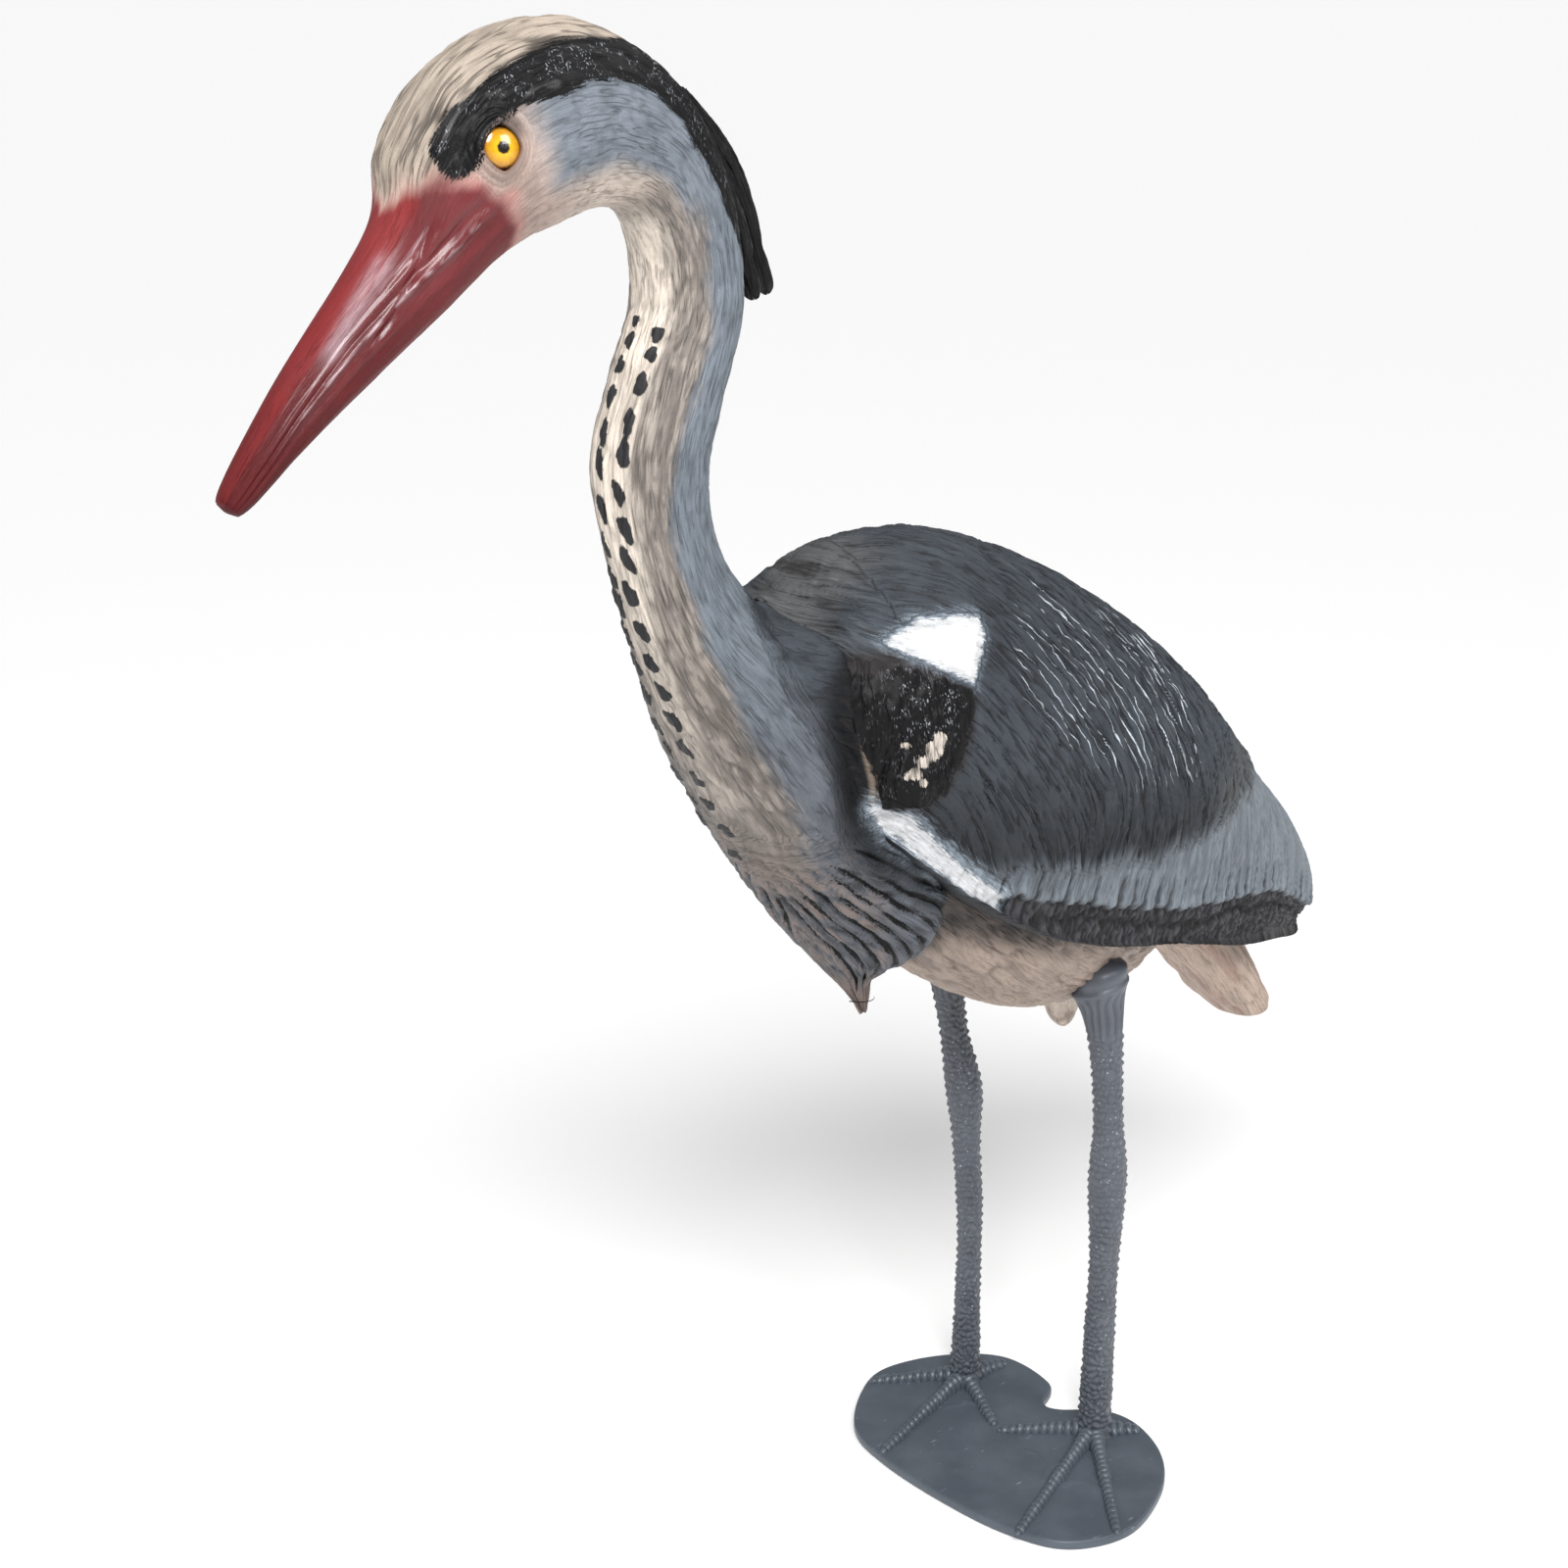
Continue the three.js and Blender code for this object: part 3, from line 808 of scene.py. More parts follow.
def neck_form(stations, turns):
    """The neck, hollowed a little where the wing's front edge stands out in front of it."""
    hollow = band(np.abs(turns)[None], 38, 72, 106, 130)
    deep = track(stations, (14.3, 0), (14.9, 3), (15.3, 6.5), (15.6, 7.5), (15.9, 7), (16.3, 4), (16.9, 0))
    return push(body_grid(NECK, stations, turns), -hollow * deep[:, None])


def wing_form(stations, places, under):
    """The back and wings, with the front edge of each wing standing out."""
    grid = wing_grid(stations, places, under)
    x, y, z = np.moveaxis(grid, -1, 0)
    bulge = between(y, -166, -184) * band(z, 394, 410, 448, 470) * between(np.abs(x), 18, 34)
    bulge[:, len(places):] = 0
    return push(grid, 6.0 * bulge)


def nearest(tree, points):
    """Signed distance of each point from a surface, positive outside, and the way that leads outward."""
    gap = np.zeros(len(points))
    way = np.zeros((len(points), 3))
    for i, point in enumerate(points.tolist()):
        place, normal, _, length = tree.find_nearest(point)
        gap[i] = length if (Vector(point) - place).dot(normal) > 0 else -length
        way[i] = normal
    return gap, way


JOINT_SEARCH = 60
JOINT_ROUNDS = 4
JOINT_STEP = 6


def merge(grid, own, other):
    """Moves the surface onto one soft joint with another, and sinks it where it runs inside the other."""
    flat = grid.reshape(-1, 3).copy()
    first = distance_to(other, flat, JOINT_SEARCH)
    reach = shoulder_reach(flat[:, 0], flat[:, 2])
    near = np.flatnonzero((first < reach) & (first > -reach))
    points, reach, first = flat[near], reach[near], np.minimum(first[near], 0)
    target = 0.12 * first - first**2 / reach
    for _ in range(JOINT_ROUNDS):
        gap, way = nearest(own, points)
        far, back = nearest(other, points)
        part = np.clip(reach - np.abs(gap - far), 0, None) / reach
        field = np.minimum(gap, far) - part**2 * reach / 4
        share = np.where(gap < far, 1 - part / 2, part / 2)[:, None]
        lead = share * way + (1 - share) * back
        size = np.maximum((lead * lead).sum(1), 0.25)
        points = points - (np.clip(field - target, -JOINT_STEP, JOINT_STEP) / size)[:, None] * lead
    flat[near] = points
    return flat.reshape(grid.shape)


def across_feathers(y, z):
    """How far a point lies tailward across the hanging feathers of the wing."""
    return 0.93 * y - 0.32 * z


def white_paint(y, z):
    """The white patch of the shoulder and the slanting white stripe below the black patch."""
    gap, run = along_line(y, z, WHITE_STRIPE)
    wide = track(run, (0, 2.8), (10, 4.8), (22, 4.8), (49, 3.8), (69, 4.2), (89, 4.2))
    patch = 0.8 * inside(y, z, WHITE_PATCH)
    uneven = noise(across_feathers(y, z) / 4, z / 4, 0, 280)
    return np.maximum(patch, 0.55 * (wide - gap)) + 0.5 * uneven


def shoulder_strokes(x, y, z, bend):
    """Level strokes where the neck runs into the shoulder, the same on both sides of the joint."""
    return strands((0.95 * z + 0.3 * y) / 3.7 + bend, x / 40, y / 22, 47, 2.8)


class Skin:
    """Coordinates on a tube of the body: station, turn in degrees, run along the middle line."""

    def __init__(self, table, stations, turns, radius):
        self.at = stations[:, None] + 0 * turns
        self.turn = turns + 0 * self.at
        self.side = np.abs(self.turn)
        self.run = run_of(table, stations)[:, None] + 0 * turns
        self.ring_x = radius * np.sin(np.radians(self.turn))
        self.ring_y = radius * np.cos(np.radians(self.turn))

    def grain(self, wide, long, seed, kind=rough):
        """Noise that runs along the tube, in two coordinates round the section and one along it."""
        return kind(self.ring_x / wide, self.ring_y / wide, self.run / long, seed)


def plume_number(at, side):
    """Which plume of the breast a point lies on: the furrows between plumes are at whole numbers."""
    numbers = np.linspace(-5, 13, 91)
    start = 16.1 + 0.055 * numbers
    slope = track(numbers, (0, 48), (4, 34), (6, 28), (9, 14))
    found = np.zeros(at.shape)
    for i, station in enumerate(at[:, 0]):
        ahead = max(station, 15.4) - start
        bend = 124 + 6.5 * numbers - slope * ahead - track(numbers, (0, 9), (6, 0)) * ahead * np.abs(ahead)
        found[i] = np.interp(side[i], bend, numbers)
    return found


def plume_furrows(at, side, run):
    """Deep furrows between the long plumes low on each side of the breast: 0 outside, 1 at the bottom."""
    plume = plume_number(at, side)
    plume = plume + 0.14 * noise(run / 24, side / 30, 0, 100) + 0.06 * noise(run / 8, side / 12, 0, 101)
    number = np.round(plume)
    start = 16.15 + 0.055 * number + 0.14 * lattice(whole(number), 0, 0, 102)
    end = track(number, (-1, 18.2), (3, 18.4), (5, 18.6), (9, 19.1))
    end = end + 0.15 * lattice(whole(number), 1, 0, 102)
    long = band(at, start, start + 0.35, end - 0.4, end) * band(number, -2.5, -1.5, 9.5, 10.5)
    broken = 0.85 + 0.4 * noise(run / 11, number * 5, 0, 103)
    furrow = np.clip(bell(np.abs(plume - number), 0.19) * long * broken, 0, 1)
    return furrow, plume, between(at, 15.9, 16.7)


def speckle_marks(c):
    """Two rows of raised dark marks down the front of the neck: signed distance, positive inside."""
    best = np.full(c.run.shape, FAR_OFF)
    for row, (first, places) in enumerate(SPECKLE_ROWS):
        for k in range(SPECKLE_COUNT):
            odd = [lattice(k, row, part, 110) for part in range(5)]
            station = first + SPECKLE_STEP * k + 0.05 * odd[0]
            apart = (c.turn - track(station, *places) - 3 * odd[1] + 180) % 360 - 180
            across = apart * c.per_degree
            along = c.run - run_of(NECK, station)
            lean = -0.05 - 0.42 * between(k, 2, 7) + 0.1 * odd[4]
            stretch = math.hypot(1, lean)
            along, across = (along + lean * across) / stretch, (across - lean * along) / stretch
            long = track(k, (0, 3.8), (5, 5.2), (12, 5.8), (16, 4.8)) + 0.7 * odd[2]
            wide = track(k, (6, 2.8), (12, 4.4)) + 0.4 * odd[3]
            angle = np.arctan2(across, along)
            uneven = 1 + 0.12 * np.cos(3 * angle + 2 * k) + 0.08 * np.cos(5 * angle + k)
            best = np.maximum(best, wide * (uneven - np.sqrt((along / long) ** 2 + (across / wide) ** 2)))
    return best


UNDER = 14
neck_turns = round_turns(224)
neck_at = evenly(NECK, (0, 1.5), (3, 1.5), (5, 1.35), (8, 1.4), (13, 1.8), (15, 1.6), (20, 1.7))
wing_places = np.linspace(-1, 1, 281)
wing_at = evenly(WINGS, (0, 1.6), (10, 1.9))
flat_wings = wing_grid(wing_at, wing_places, UNDER)

coarse_neck = tree_of(neck_form(np.linspace(0, 20, 201), round_turns(120)))
coarse_wings = tree_of(wing_form(np.linspace(0, 10, 141), np.linspace(-1, 1, 121), 8))


def neck_skin(grid):
    """Coordinates on the neck, with the values that its forms, relief and paint share."""
    c = Skin(NECK, neck_at, neck_turns, 30)
    c.x, c.y, c.z = np.moveaxis(grid, -1, 0)
    c.per_degree = np.radians(1) * smooth(NECK, neck_at)[:, 2:4].mean(1)[:, None]
    c.sway = 2.5 * c.grain(25, 60, 11, noise)
    c.uneven = c.grain(14, 40, 80)

    # The bill ends on a slanted line, further back low on the side than on the forehead.
    c.red = run_of(NECK, track(c.side, *BILL_ROOT)) - c.run + 2.4 * c.grain(5, 14, 81)
    c.feathers = between(-c.red, 0, 8)
    c.crown = between(c.side, 64, 40) * between(c.at, 8, 6)
    c.off_top = between(c.side, 18, 40)
    c.eye_gap = np.hypot(c.y - EYE_CENTRE[1], c.z - EYE_CENTRE[2] - PLATE_THICK)
    c.bare = bell(c.eye_gap, 17) * c.off_top
    c.slate_edge = track(c.at, *SLATE_EDGE)
    c.across = band(c.at, 13.9, 14.3, 16, 17) * between(c.side, c.slate_edge + 16, c.slate_edge - 6)
    c.furrow, c.plume, c.low = plume_furrows(c.at, c.side, c.run)
    c.marks = speckle_marks(c)
    c.relief = neck_relief(c)
    return c


def neck_relief(c):
    """Plumage: long grooves on the crown, short soft strokes on the cheek, plumes on the breast."""

    def plumage(wide, long, seed, narrow):
        return strands(c.ring_x / wide + c.sway * 0.3, c.ring_y / wide, c.run / long, seed, narrow)

    relief = lerp(plumage(2.7, 9, 30, 2.2), plumage(4.6, 30, 20, 2.0), c.crown)
    relief = lerp(relief, plumage(3.0, 15, 40, 2.4), between(c.at, 8.2, 9.4))
    relief = lerp(relief, strands(c.plume * 1.8, c.x / 60, c.run / 22, 45, 2.6), c.low)
    return lerp(relief, shoulder_strokes(c.x, c.y, c.z, 0.5 * c.uneven), c.across)


def neck_forms(c):
    """Modelled forms: the brow, the socket of the eye, the cheek, the ridges of the bill, the breast."""
    at, side, run = c.at, c.side, c.run
    brow, _ = along_line(c.y, c.z, [(-394, 702), (-380, 716), (-360, 721), (-340, 722)])
    head = 2.2 * bell(brow, 7) - 1.6 * bell(c.eye_gap, 12) + 1.2 * bell(np.hypot(c.y + 335, c.z - 690), 18)
    wave = 2.5 * noise(run / 26, 0, 0, 4)
    mouth = side + wave - track(run, (0, 82), (44, 71), (74, 67), (110, 72), (146, 88))
    broken = 1 + 0.5 * noise(run / 9, side / 25, 0, 5)
    lines = 0.25 * bell(side - 40, 10) + 0.5 * bell(mouth + 9, 4) + 1.1 * bell(mouth - 8, 4)
    lines = broken * (lines + 0.5 * bell(mouth - 28, 5)) - 0.8 * bell(side - 56 + wave, 9)
    lines = lines - bell(mouth, 3) - 0.5 * bell(mouth - 18, 5)
    nostril, _ = along_line(run, side, [(128, 58), (106, 76), (86, 88)])
    lines = lines - 1.5 * bell(nostril, 3.2) * between(at, 1.6, 2.6)
    lines = lines + 0.5 * c.grain(6, 22, 8) * between(side, 30, 50)
    bill = between(c.red, -2, 6) * between(at, 0.4, 1.2) * track(at, (0.5, 0.35), (3, 0.95))
    form = head * c.off_top + bill * lines - 5.0 * bell(at - 18.8, 0.5) * between(side, 150, 95)
    return form + 5.0 * bell(at - 17.6, 0.8) * band(side, 35, 65, 105, 130)


def neck_height(c):
    """Height of the plumage, the furrows, the seam, the speckles and the strokes over the eye."""
    at, side = c.at, c.side
    depth = track(at, *PLUMAGE_DEPTH) * (1 + 1.9 * c.crown)
    depth = depth * lerp(1.0, 0.45, between(side, 64, 80) * between(at, 9, 8))
    depth = depth * lerp(1.0, 0.65, between(side, 112, 96) * band(at, 9, 10, 13.5, 14.5))
    depth = depth * (1 - 0.8 * c.bare)
    seam = bell((side - 180) * c.per_degree, 0.8) * between(at, 9.6, 10.4)
    over_eye = bell(side - track(at, (4, 55), (5, 53), (7, 42)), 14) * band(at, 4.1, 4.4, 7, 8.5)
    height = c.feathers * depth * (c.relief - 0.75) - 3.4 * c.furrow
    height = height + 0.9 * c.low * bell((c.plume - 0.5) % 1 - 0.5, 0.3) * between(at, 18.8, 18)
    height = height + 0.9 * seam * (0.75 + 0.5 * noise(c.run / 14, 0, 0, 60)) + between(c.marks, -0.5, 0.7)
    return height + 0.35 * c.grain(8, 10, 70) * c.feathers + 1.1 * over_eye * c.grain(3.4, 8, 97)


def neck_paint(c):
    """Soft paint of the neck and breast."""
    at, side, z, uneven = c.at, c.side, c.z, c.uneven
    flank = track(at, *FLANK)
    edge = side + 9 * uneven + 5 * (c.relief - 0.7)
    ventral = between(edge, flank - 8, flank + 8)
    front = between(edge, np.minimum(flank + 30, 152), np.minimum(flank + 56, 174))
    blue = NECK_BLUE * lerp(1.0, 0.87, between(at, 11.5, 14))[..., None]
    taupe = TAUPE * lerp(1.0, 0.88, between(at, 12, 14))[..., None]
    cream = blend(CREAM, TAUPE * 1.25, 0.6 * between(at, 12.5, 15))
    slate = SLATE * lerp(1.0, 0.55, between(z, 475, 435))[..., None]
    join = between(np.abs(c.gap) + 5 * uneven, 22, 3) * between(at, 14.3, 15)
    dark = between(edge, c.slate_edge + 14, c.slate_edge - 12) * between(at + 0.15 * uneven, 13.6, 14.0)
    off_middle = between(np.abs(c.x), 18, 30)
    sooty = between(inside(c.y, z, BLACK_PATCH) + 3 * uneven + 3 * c.relief, -20, -3) * off_middle
    crescent = between(c.gap + uneven, 3, 1.2) * between(z + 3 * uneven, 443, 433)
    return layered(
        blend(blue, taupe, ventral),
        (cream, front * between(at, 16.4, 14.6)),
        (CREAM, 0.17 * between(c.relief, 0.7, 1.0) * ventral * between(at, 17, 15)),
        (BREAST_BLUE, between(at + 0.25 * uneven, 13.7, 15.6) * (1 - ventral)),
        (BREAST_BLUE, 0.85 * between(at + 0.35 * uneven, 16.3, 17.1)),
        (UMBER_LIGHT, 0.75 * c.low * between(c.relief, 0.5, 1.0) * between(side, 108, 140)),
        (UMBER_LIGHT, 0.8 * between(at, 18.3, 19.2)),
        (slate, np.maximum(join, dark * between(at, 17.2, 16.4))),
        (SOOT * 1.6, 0.95 * sooty),
        (CRESCENT, 0.85 * crescent * between(z, 404, 411) * off_middle),
    )


def head_paint(c):
    """Paint of the head: pale crown, blue cheek, bare skin round the eye and at the throat."""
    at, side = c.at, c.side
    cheek = between(at + 0.3 * c.uneven, 4.85, 5.5) * between(side + 4 * c.uneven, 132, 112)
    return layered(
        blend(SKIN, CREAM, between(at, 4.4, 6.5) * 0.6),
        (CHEEK_BLUE, cheek),
        (CROWN, between(side, 66, 48)),
        (TAUPE, between(at, 7.2, 8.4) * between(side, 112, 128)),
        (CREAM, between(at, 7.6, 9.0) * between(side, 136, 158) * 0.8),
    )


def bill_paint(c, painted_sheen_patch):
    """Paint of the bill: dark red at the tip, lighter and pinker at the root, lighter along the top as
    painted light, with a pale painted sheen that is a painted highlight.
    """
    run = c.run
    # The top of the bill is painted lighter coral, as painted light on its rounded top.
    red = blend(RED, LIT_CORAL, between(c.side + 3 * noise(run / 15, 0, 0, 3), 47, 33))
    tone = track(run, (0, 0.74), (50, 0.95), (130, 1.3)) * (1 + 0.15 * c.grain(10, 30, 87))
    red = red * tone[..., None]
    for tint, share in (((0.95, 1.4, 1.35), between(run, 70, 135)), ((1.0, 0.8, 0.82), between(run, 60, 15))):
        red = blend(red, red * np.array(tint), share)
    return blend(red, BILL_PAINTED_SHEEN, 0.6 * painted_sheen_patch * (0.75 + 0.25 * c.grain(5, 9, 98)))


def make_neck():
    grid = merge(neck_form(neck_at, neck_turns), coarse_neck, coarse_wings)
    c = neck_skin(grid)
    grid = push(grid, neck_forms(c))
    c.gap = distance_to(coarse_wings, grid, 30)
    grid = push(grid, neck_height(c) * (1 - calm_joint(c.gap, c.z)))
    at, side, run, red, uneven = c.at, c.side, c.run, c.red, c.uneven

    def on_bill(*points):
        """Distance from a line on the side of the bill: run, half of the side in degrees."""
        return along_line(run, side * 0.5, points)[0]

    # Paint, with a pink forehead and a dark smear where the bill begins.
    # The broad pale sheen on the side of the bill is a painted highlight.
    painted_sheen_patch = bell(on_bill((106, 19), (88, 20.5), (70, 25)), 6.0) * between(c.grain(6, 20, 99), -0.7, 0.1)
    blush = between(red, -13, -1) * (0.5 + 0.4 * c.grain(6, 9, 85, noise))
    smear = bell(side - 54 + 6 * uneven, 9) * between(red, -16, -6)
    paint = layered(
        neck_paint(c),
        (head_paint(c), between(at, 9.2, 8.2)),
        (blend(PINK, colour(236, 198, 186), between(side, 46, 30)), np.clip(blush, 0, 1)),
        (colour(112, 62, 62), 0.75 * smear * (1 - between(red, -1, 1))),
        (bill_paint(c, painted_sheen_patch), between(red + 1.6 * uneven, -6.5, 2.5)),
    )

    # The black stripe from the lore over the eye to the crest, and black in the furrows of the breast.
    upper, lower = side - track(at, *STRIPE_UPPER), track(at, *STRIPE_LOWER) - side
    stripe = np.minimum(upper * c.per_degree, lower * c.per_degree)
    stripe = np.minimum(stripe, run - run_of(NECK, 4.0))
    stripe = stripe + 1.6 * c.grain(6, 16, 90) + 1.2 * c.crown * (0.6 - c.relief)

    # Painted highlights: glints along the ridges of the bill, and painted sparks of light on the stripe; then
    # the gloss of the bill and the stripe.
    ridge = bell(on_bill((146, 48), (110, 39.5), (74, 37), (44, 38.5)), 1.1)
    ridge = track(run, (20, 0.25), (60, 0.75)) * ridge * between(noise(run / 4, side / 12, 0, 96), -0.3, 0.35)
    sheen = np.maximum(0.35 * painted_sheen_patch, ridge)
    sheen = np.maximum(sheen, 0.6 * bell(on_bill((128, 28.5), (99, 26)), 0.9))
    glint = sheen * (0.35 + 0.65 * between(c.grain(5, 16, 95), -0.5, 0.5)) * between(red, 1, 6)
    gloss = 0.62 * between(red, -1, 3) * band(side, 30, 50, 92, 112) * between(run, 4, 50)
    gloss = np.maximum(gloss, 0.4 * between(stripe, 0, 3) * between(at, 8.5, 6.5))
    wet = between(stripe, 1, 4) * lerp(0.45, 1.0, between(at, 8.5, 6.5)) * between(at, 11, 9.5)

    # Dark wash in the grooves, fine cuts, and the way that both run.
    wash = 0.1 + 0.75 * c.crown * between(at, 3.8, 4.6) * between(side, 16, 38)
    wash = lerp(lerp(wash, 0.6, c.low), 0.85, c.across * between(at, 14.7, 15.3))
    wash = wash * c.feathers * (1 - 0.7 * c.bare)
    carve = lerp(0.6, 1.1, c.crown * between(side, 6, 20)) * (1 - 0.6 * between(at, 5.8, 5.0) * (1 - c.crown))
    carve = carve * lerp(0.35, 1.0, c.feathers) * (1 - c.bare)
    flow = layered(
        columns(c.ring_x / 2.6 + 0.3 * c.sway, c.ring_y / 2.6, run / 14),
        (columns(c.plume * 2.0, 0, run / 14), c.low),
        (columns((0.95 * c.z + 0.3 * c.y) / 3.2, c.x / 40, c.y / 12), c.across),
    )
    shoulder = (np.abs(c.x) > 18) & (at > 13)
    white = np.where(shoulder, white_paint(c.y, c.z), FAR_OFF)
    black = np.maximum(stripe, 4.6 * c.furrow - 2.2)
    return grid, body_looks(
        grid, paint, lerp(1.0, c.relief, c.feathers), black=black, glint=glint, gloss=gloss, wash=wash,
        flow=flow, carve=carve, mark=c.marks, wet=wet, white=white,
    )


neck, neck_looks = make_neck()
add_tube("neck_head", neck, "body", PAINTED, **neck_looks)


# Back and wings


def wing_flow(grid):
    """Unrolled coordinates of the back: one towards the tail, one down the side."""
    tailward = 0.82 * grid[..., 1] - 0.57 * grid[..., 2]
    upper = grid[:, : len(wing_places)]
    steps = np.linalg.norm(np.diff(upper, axis=1), axis=-1)
    down = np.concatenate([np.zeros((len(upper), 1)), np.cumsum(steps, 1)], 1)
    down = np.abs(down - down[:, [len(wing_places) // 2]])
    edge = down[:, [-1]] + 0 * grid[:, len(wing_places):, 0]
    return tailward, np.concatenate([down, edge], 1)


def stroke_start(tailward, down):
    """Follows the stroke through each point up to the middle of the back, and gives where it starts."""
    start = tailward
    steps = 40
    for k in range(steps):
        here = down * (1 - (k + 0.5) / steps)
        hem = track(start, (-390, 178), (-314, 168), (-224, 150), (-182, 140), (-141, 108), (-100, 80))
        share = here / hem
        slope = track(share, (0, 1.7), (0.4, 1.55), (0.65, 1.25), (0.8, 0.95), (0.9, 0.45), (1, 0.1))
        long = track(share, (0, 1.75), (0.4, 1.7), (0.65, 1.65), (0.8, 1.6), (0.92, 1.5), (1, 1.2))
        slope = lerp(slope, long, between(start, -225, -300))
        start = start - (slope - 0.9 * between(start, -190, -140)) * down / steps
    return start


def make_wings():
    grid = merge(wing_form(wing_at, wing_places, UNDER), coarse_wings, coarse_neck)
    count = len(wing_places)
    top = np.abs(np.concatenate([wing_places, np.full(UNDER, 1.0)]))[None]
    over = np.concatenate([np.ones(count), np.zeros(UNDER)])[None] + 0 * grid[..., 0]
    x, y, z = np.moveaxis(flat_wings, -1, 0)
    tailward, down = wing_flow(flat_wings)
    lean = np.clip(x / 40, -1, 1)
    flank = (np.abs(x) > 20) & (over > 0)

    # Plumage runs down and back over each wing and turns down towards the lower edge of the coverts.
    start = stroke_start(tailward, down)
    run = 0.75 * tailward + 0.65 * down
    bend = 0.5 * noise(tailward / 45, down / 45, lean, 200)
    wide_arcs = strands(start / 6.2 + bend, lean * 1.5, run / 34, 210, 3.2)
    fine_arcs = strands(start / 3.6 + bend, lean * 1.5, run / 13, 215, 2.6)
    arcs = 0.68 * wide_arcs + 0.32 * fine_arcs

    # Upright strokes in the black patch, level ones between it and the neck.
    dark = inside(y, z, BLACK_PATCH) + 2.6 * rough(y / 7, z / 9, lean, 270)
    upright = between(dark, -1, 1) * between(z, 474, 468)
    level = between(y + 5 * noise(z / 9, lean, 0, 201), -161, -168) * between(z, 436, 444) * (1 - upright)
    streaks = 0.6 + 0.5 * noise(y / 1.9 + bend, x / 2.4, z / 11, 217)
    arcs = lerp(arcs, streaks + 0.4 * noise(y / 1.5, x / 2, z / 5, 218), upright)
    arcs = lerp(arcs, shoulder_strokes(x, y, z, bend), level)

    # Secondaries: feathers side by side, each with a rounded tip, over the dark primaries.
    slant = across_feathers(y, z)
    wander = 2.4 * noise(slant / 24, lean * 2, 0, 220)
    feather_width = 11.5
    feather = (slant + wander) / feather_width
    tip = np.abs((feather % 1) - 0.5)
    ends = below(y, z, SECONDARY_EDGE) + 8.4 * tip**1.6 + 1.3 * lattice(whole(np.floor(feather)), 0, 0, 221)
    ends = ends + 0.8 * noise(slant / 3, lean, z / 3, 222)
    fringe = below(y, z, COVERT_EDGE) + 1.6 * noise(slant / 2.2, lean * 2, z / 30, 223)
    fringe = fringe + 2.5 * noise(slant / 14, lean * 2, 0, 224) + 1.6 * (arcs - 0.6)
    secondary = between(fringe, -3.5, 3.5) * over
    primary = between(ends, -0.5, 0.7) * over
    hanging = strands(slant / 2.3 + 0.4 * wander, lean * 1.5, z / 24, 230, 2.2)
    open_split = 0.5 + 0.5 * lattice(whole(np.round(feather)), 1, 0, 225)
    wedge = track(ends, (-26, 0.2), (-9, 1.0), (0, 2.2)) * between(open_split, 0.1, 0.6)
    split = between((0.5 - tip) * feather_width - wedge, 0.5, -0.3)
    split = split * between(ends, -26 + 12 * open_split, -12)
    fibres = strands(slant / 1.9 + bend, lean, z / 7, 240, 2.2)
    parting = bell(ends - 9 - 2 * noise(slant / 20, lean, 0, 241), 1.6) * between(y, -120, -60)

    # Relief.
    relief = lerp(arcs, hanging, secondary)
    relief = lerp(relief, fibres * (1 - 0.6 * parting), primary)
    crease, _ = along_line(np.abs(x), y, [(13, -183), (11.5, -165), (5, -135)])
    calm = lerp(between(tailward, -400, -330) * 0.45 + 0.55, 1.0, between(z, 470, 440))
    depth = lerp(3.0 * calm, 0.75, secondary) * (1 - 0.45 * upright)
    white = white_paint(y, z)
    depth = lerp(depth, 1.9, primary) * (1 - 0.6 * between(white, -2, 0))
    height = depth * (relief - 0.75) * over
    step = lerp(0.35, 1.0, between(y, 20, 80))
    height = height - step * secondary + step * between(fringe, -9, -1) * (1 - secondary) * over
    height = height - 1.5 * split * secondary * (1 - primary)
    height = height - 2.6 * primary + 0.9 * bell(ends + 2.5, 2.0) * over - 1.2 * parting * primary
    height = height - 0.8 * bell(crease, 2.2) * between(z, 490, 500)
    height = height + 0.6 * rough(tailward / 16, down / 16, lean * 2, 250) * over
    height = height * np.where(over > 0, 0.4 + 0.6 * between(top, 1.0, 0.985), 1)
    grid = push(grid, height * (1 - calm_joint(distance_to(coarse_neck, grid, 14), z)))

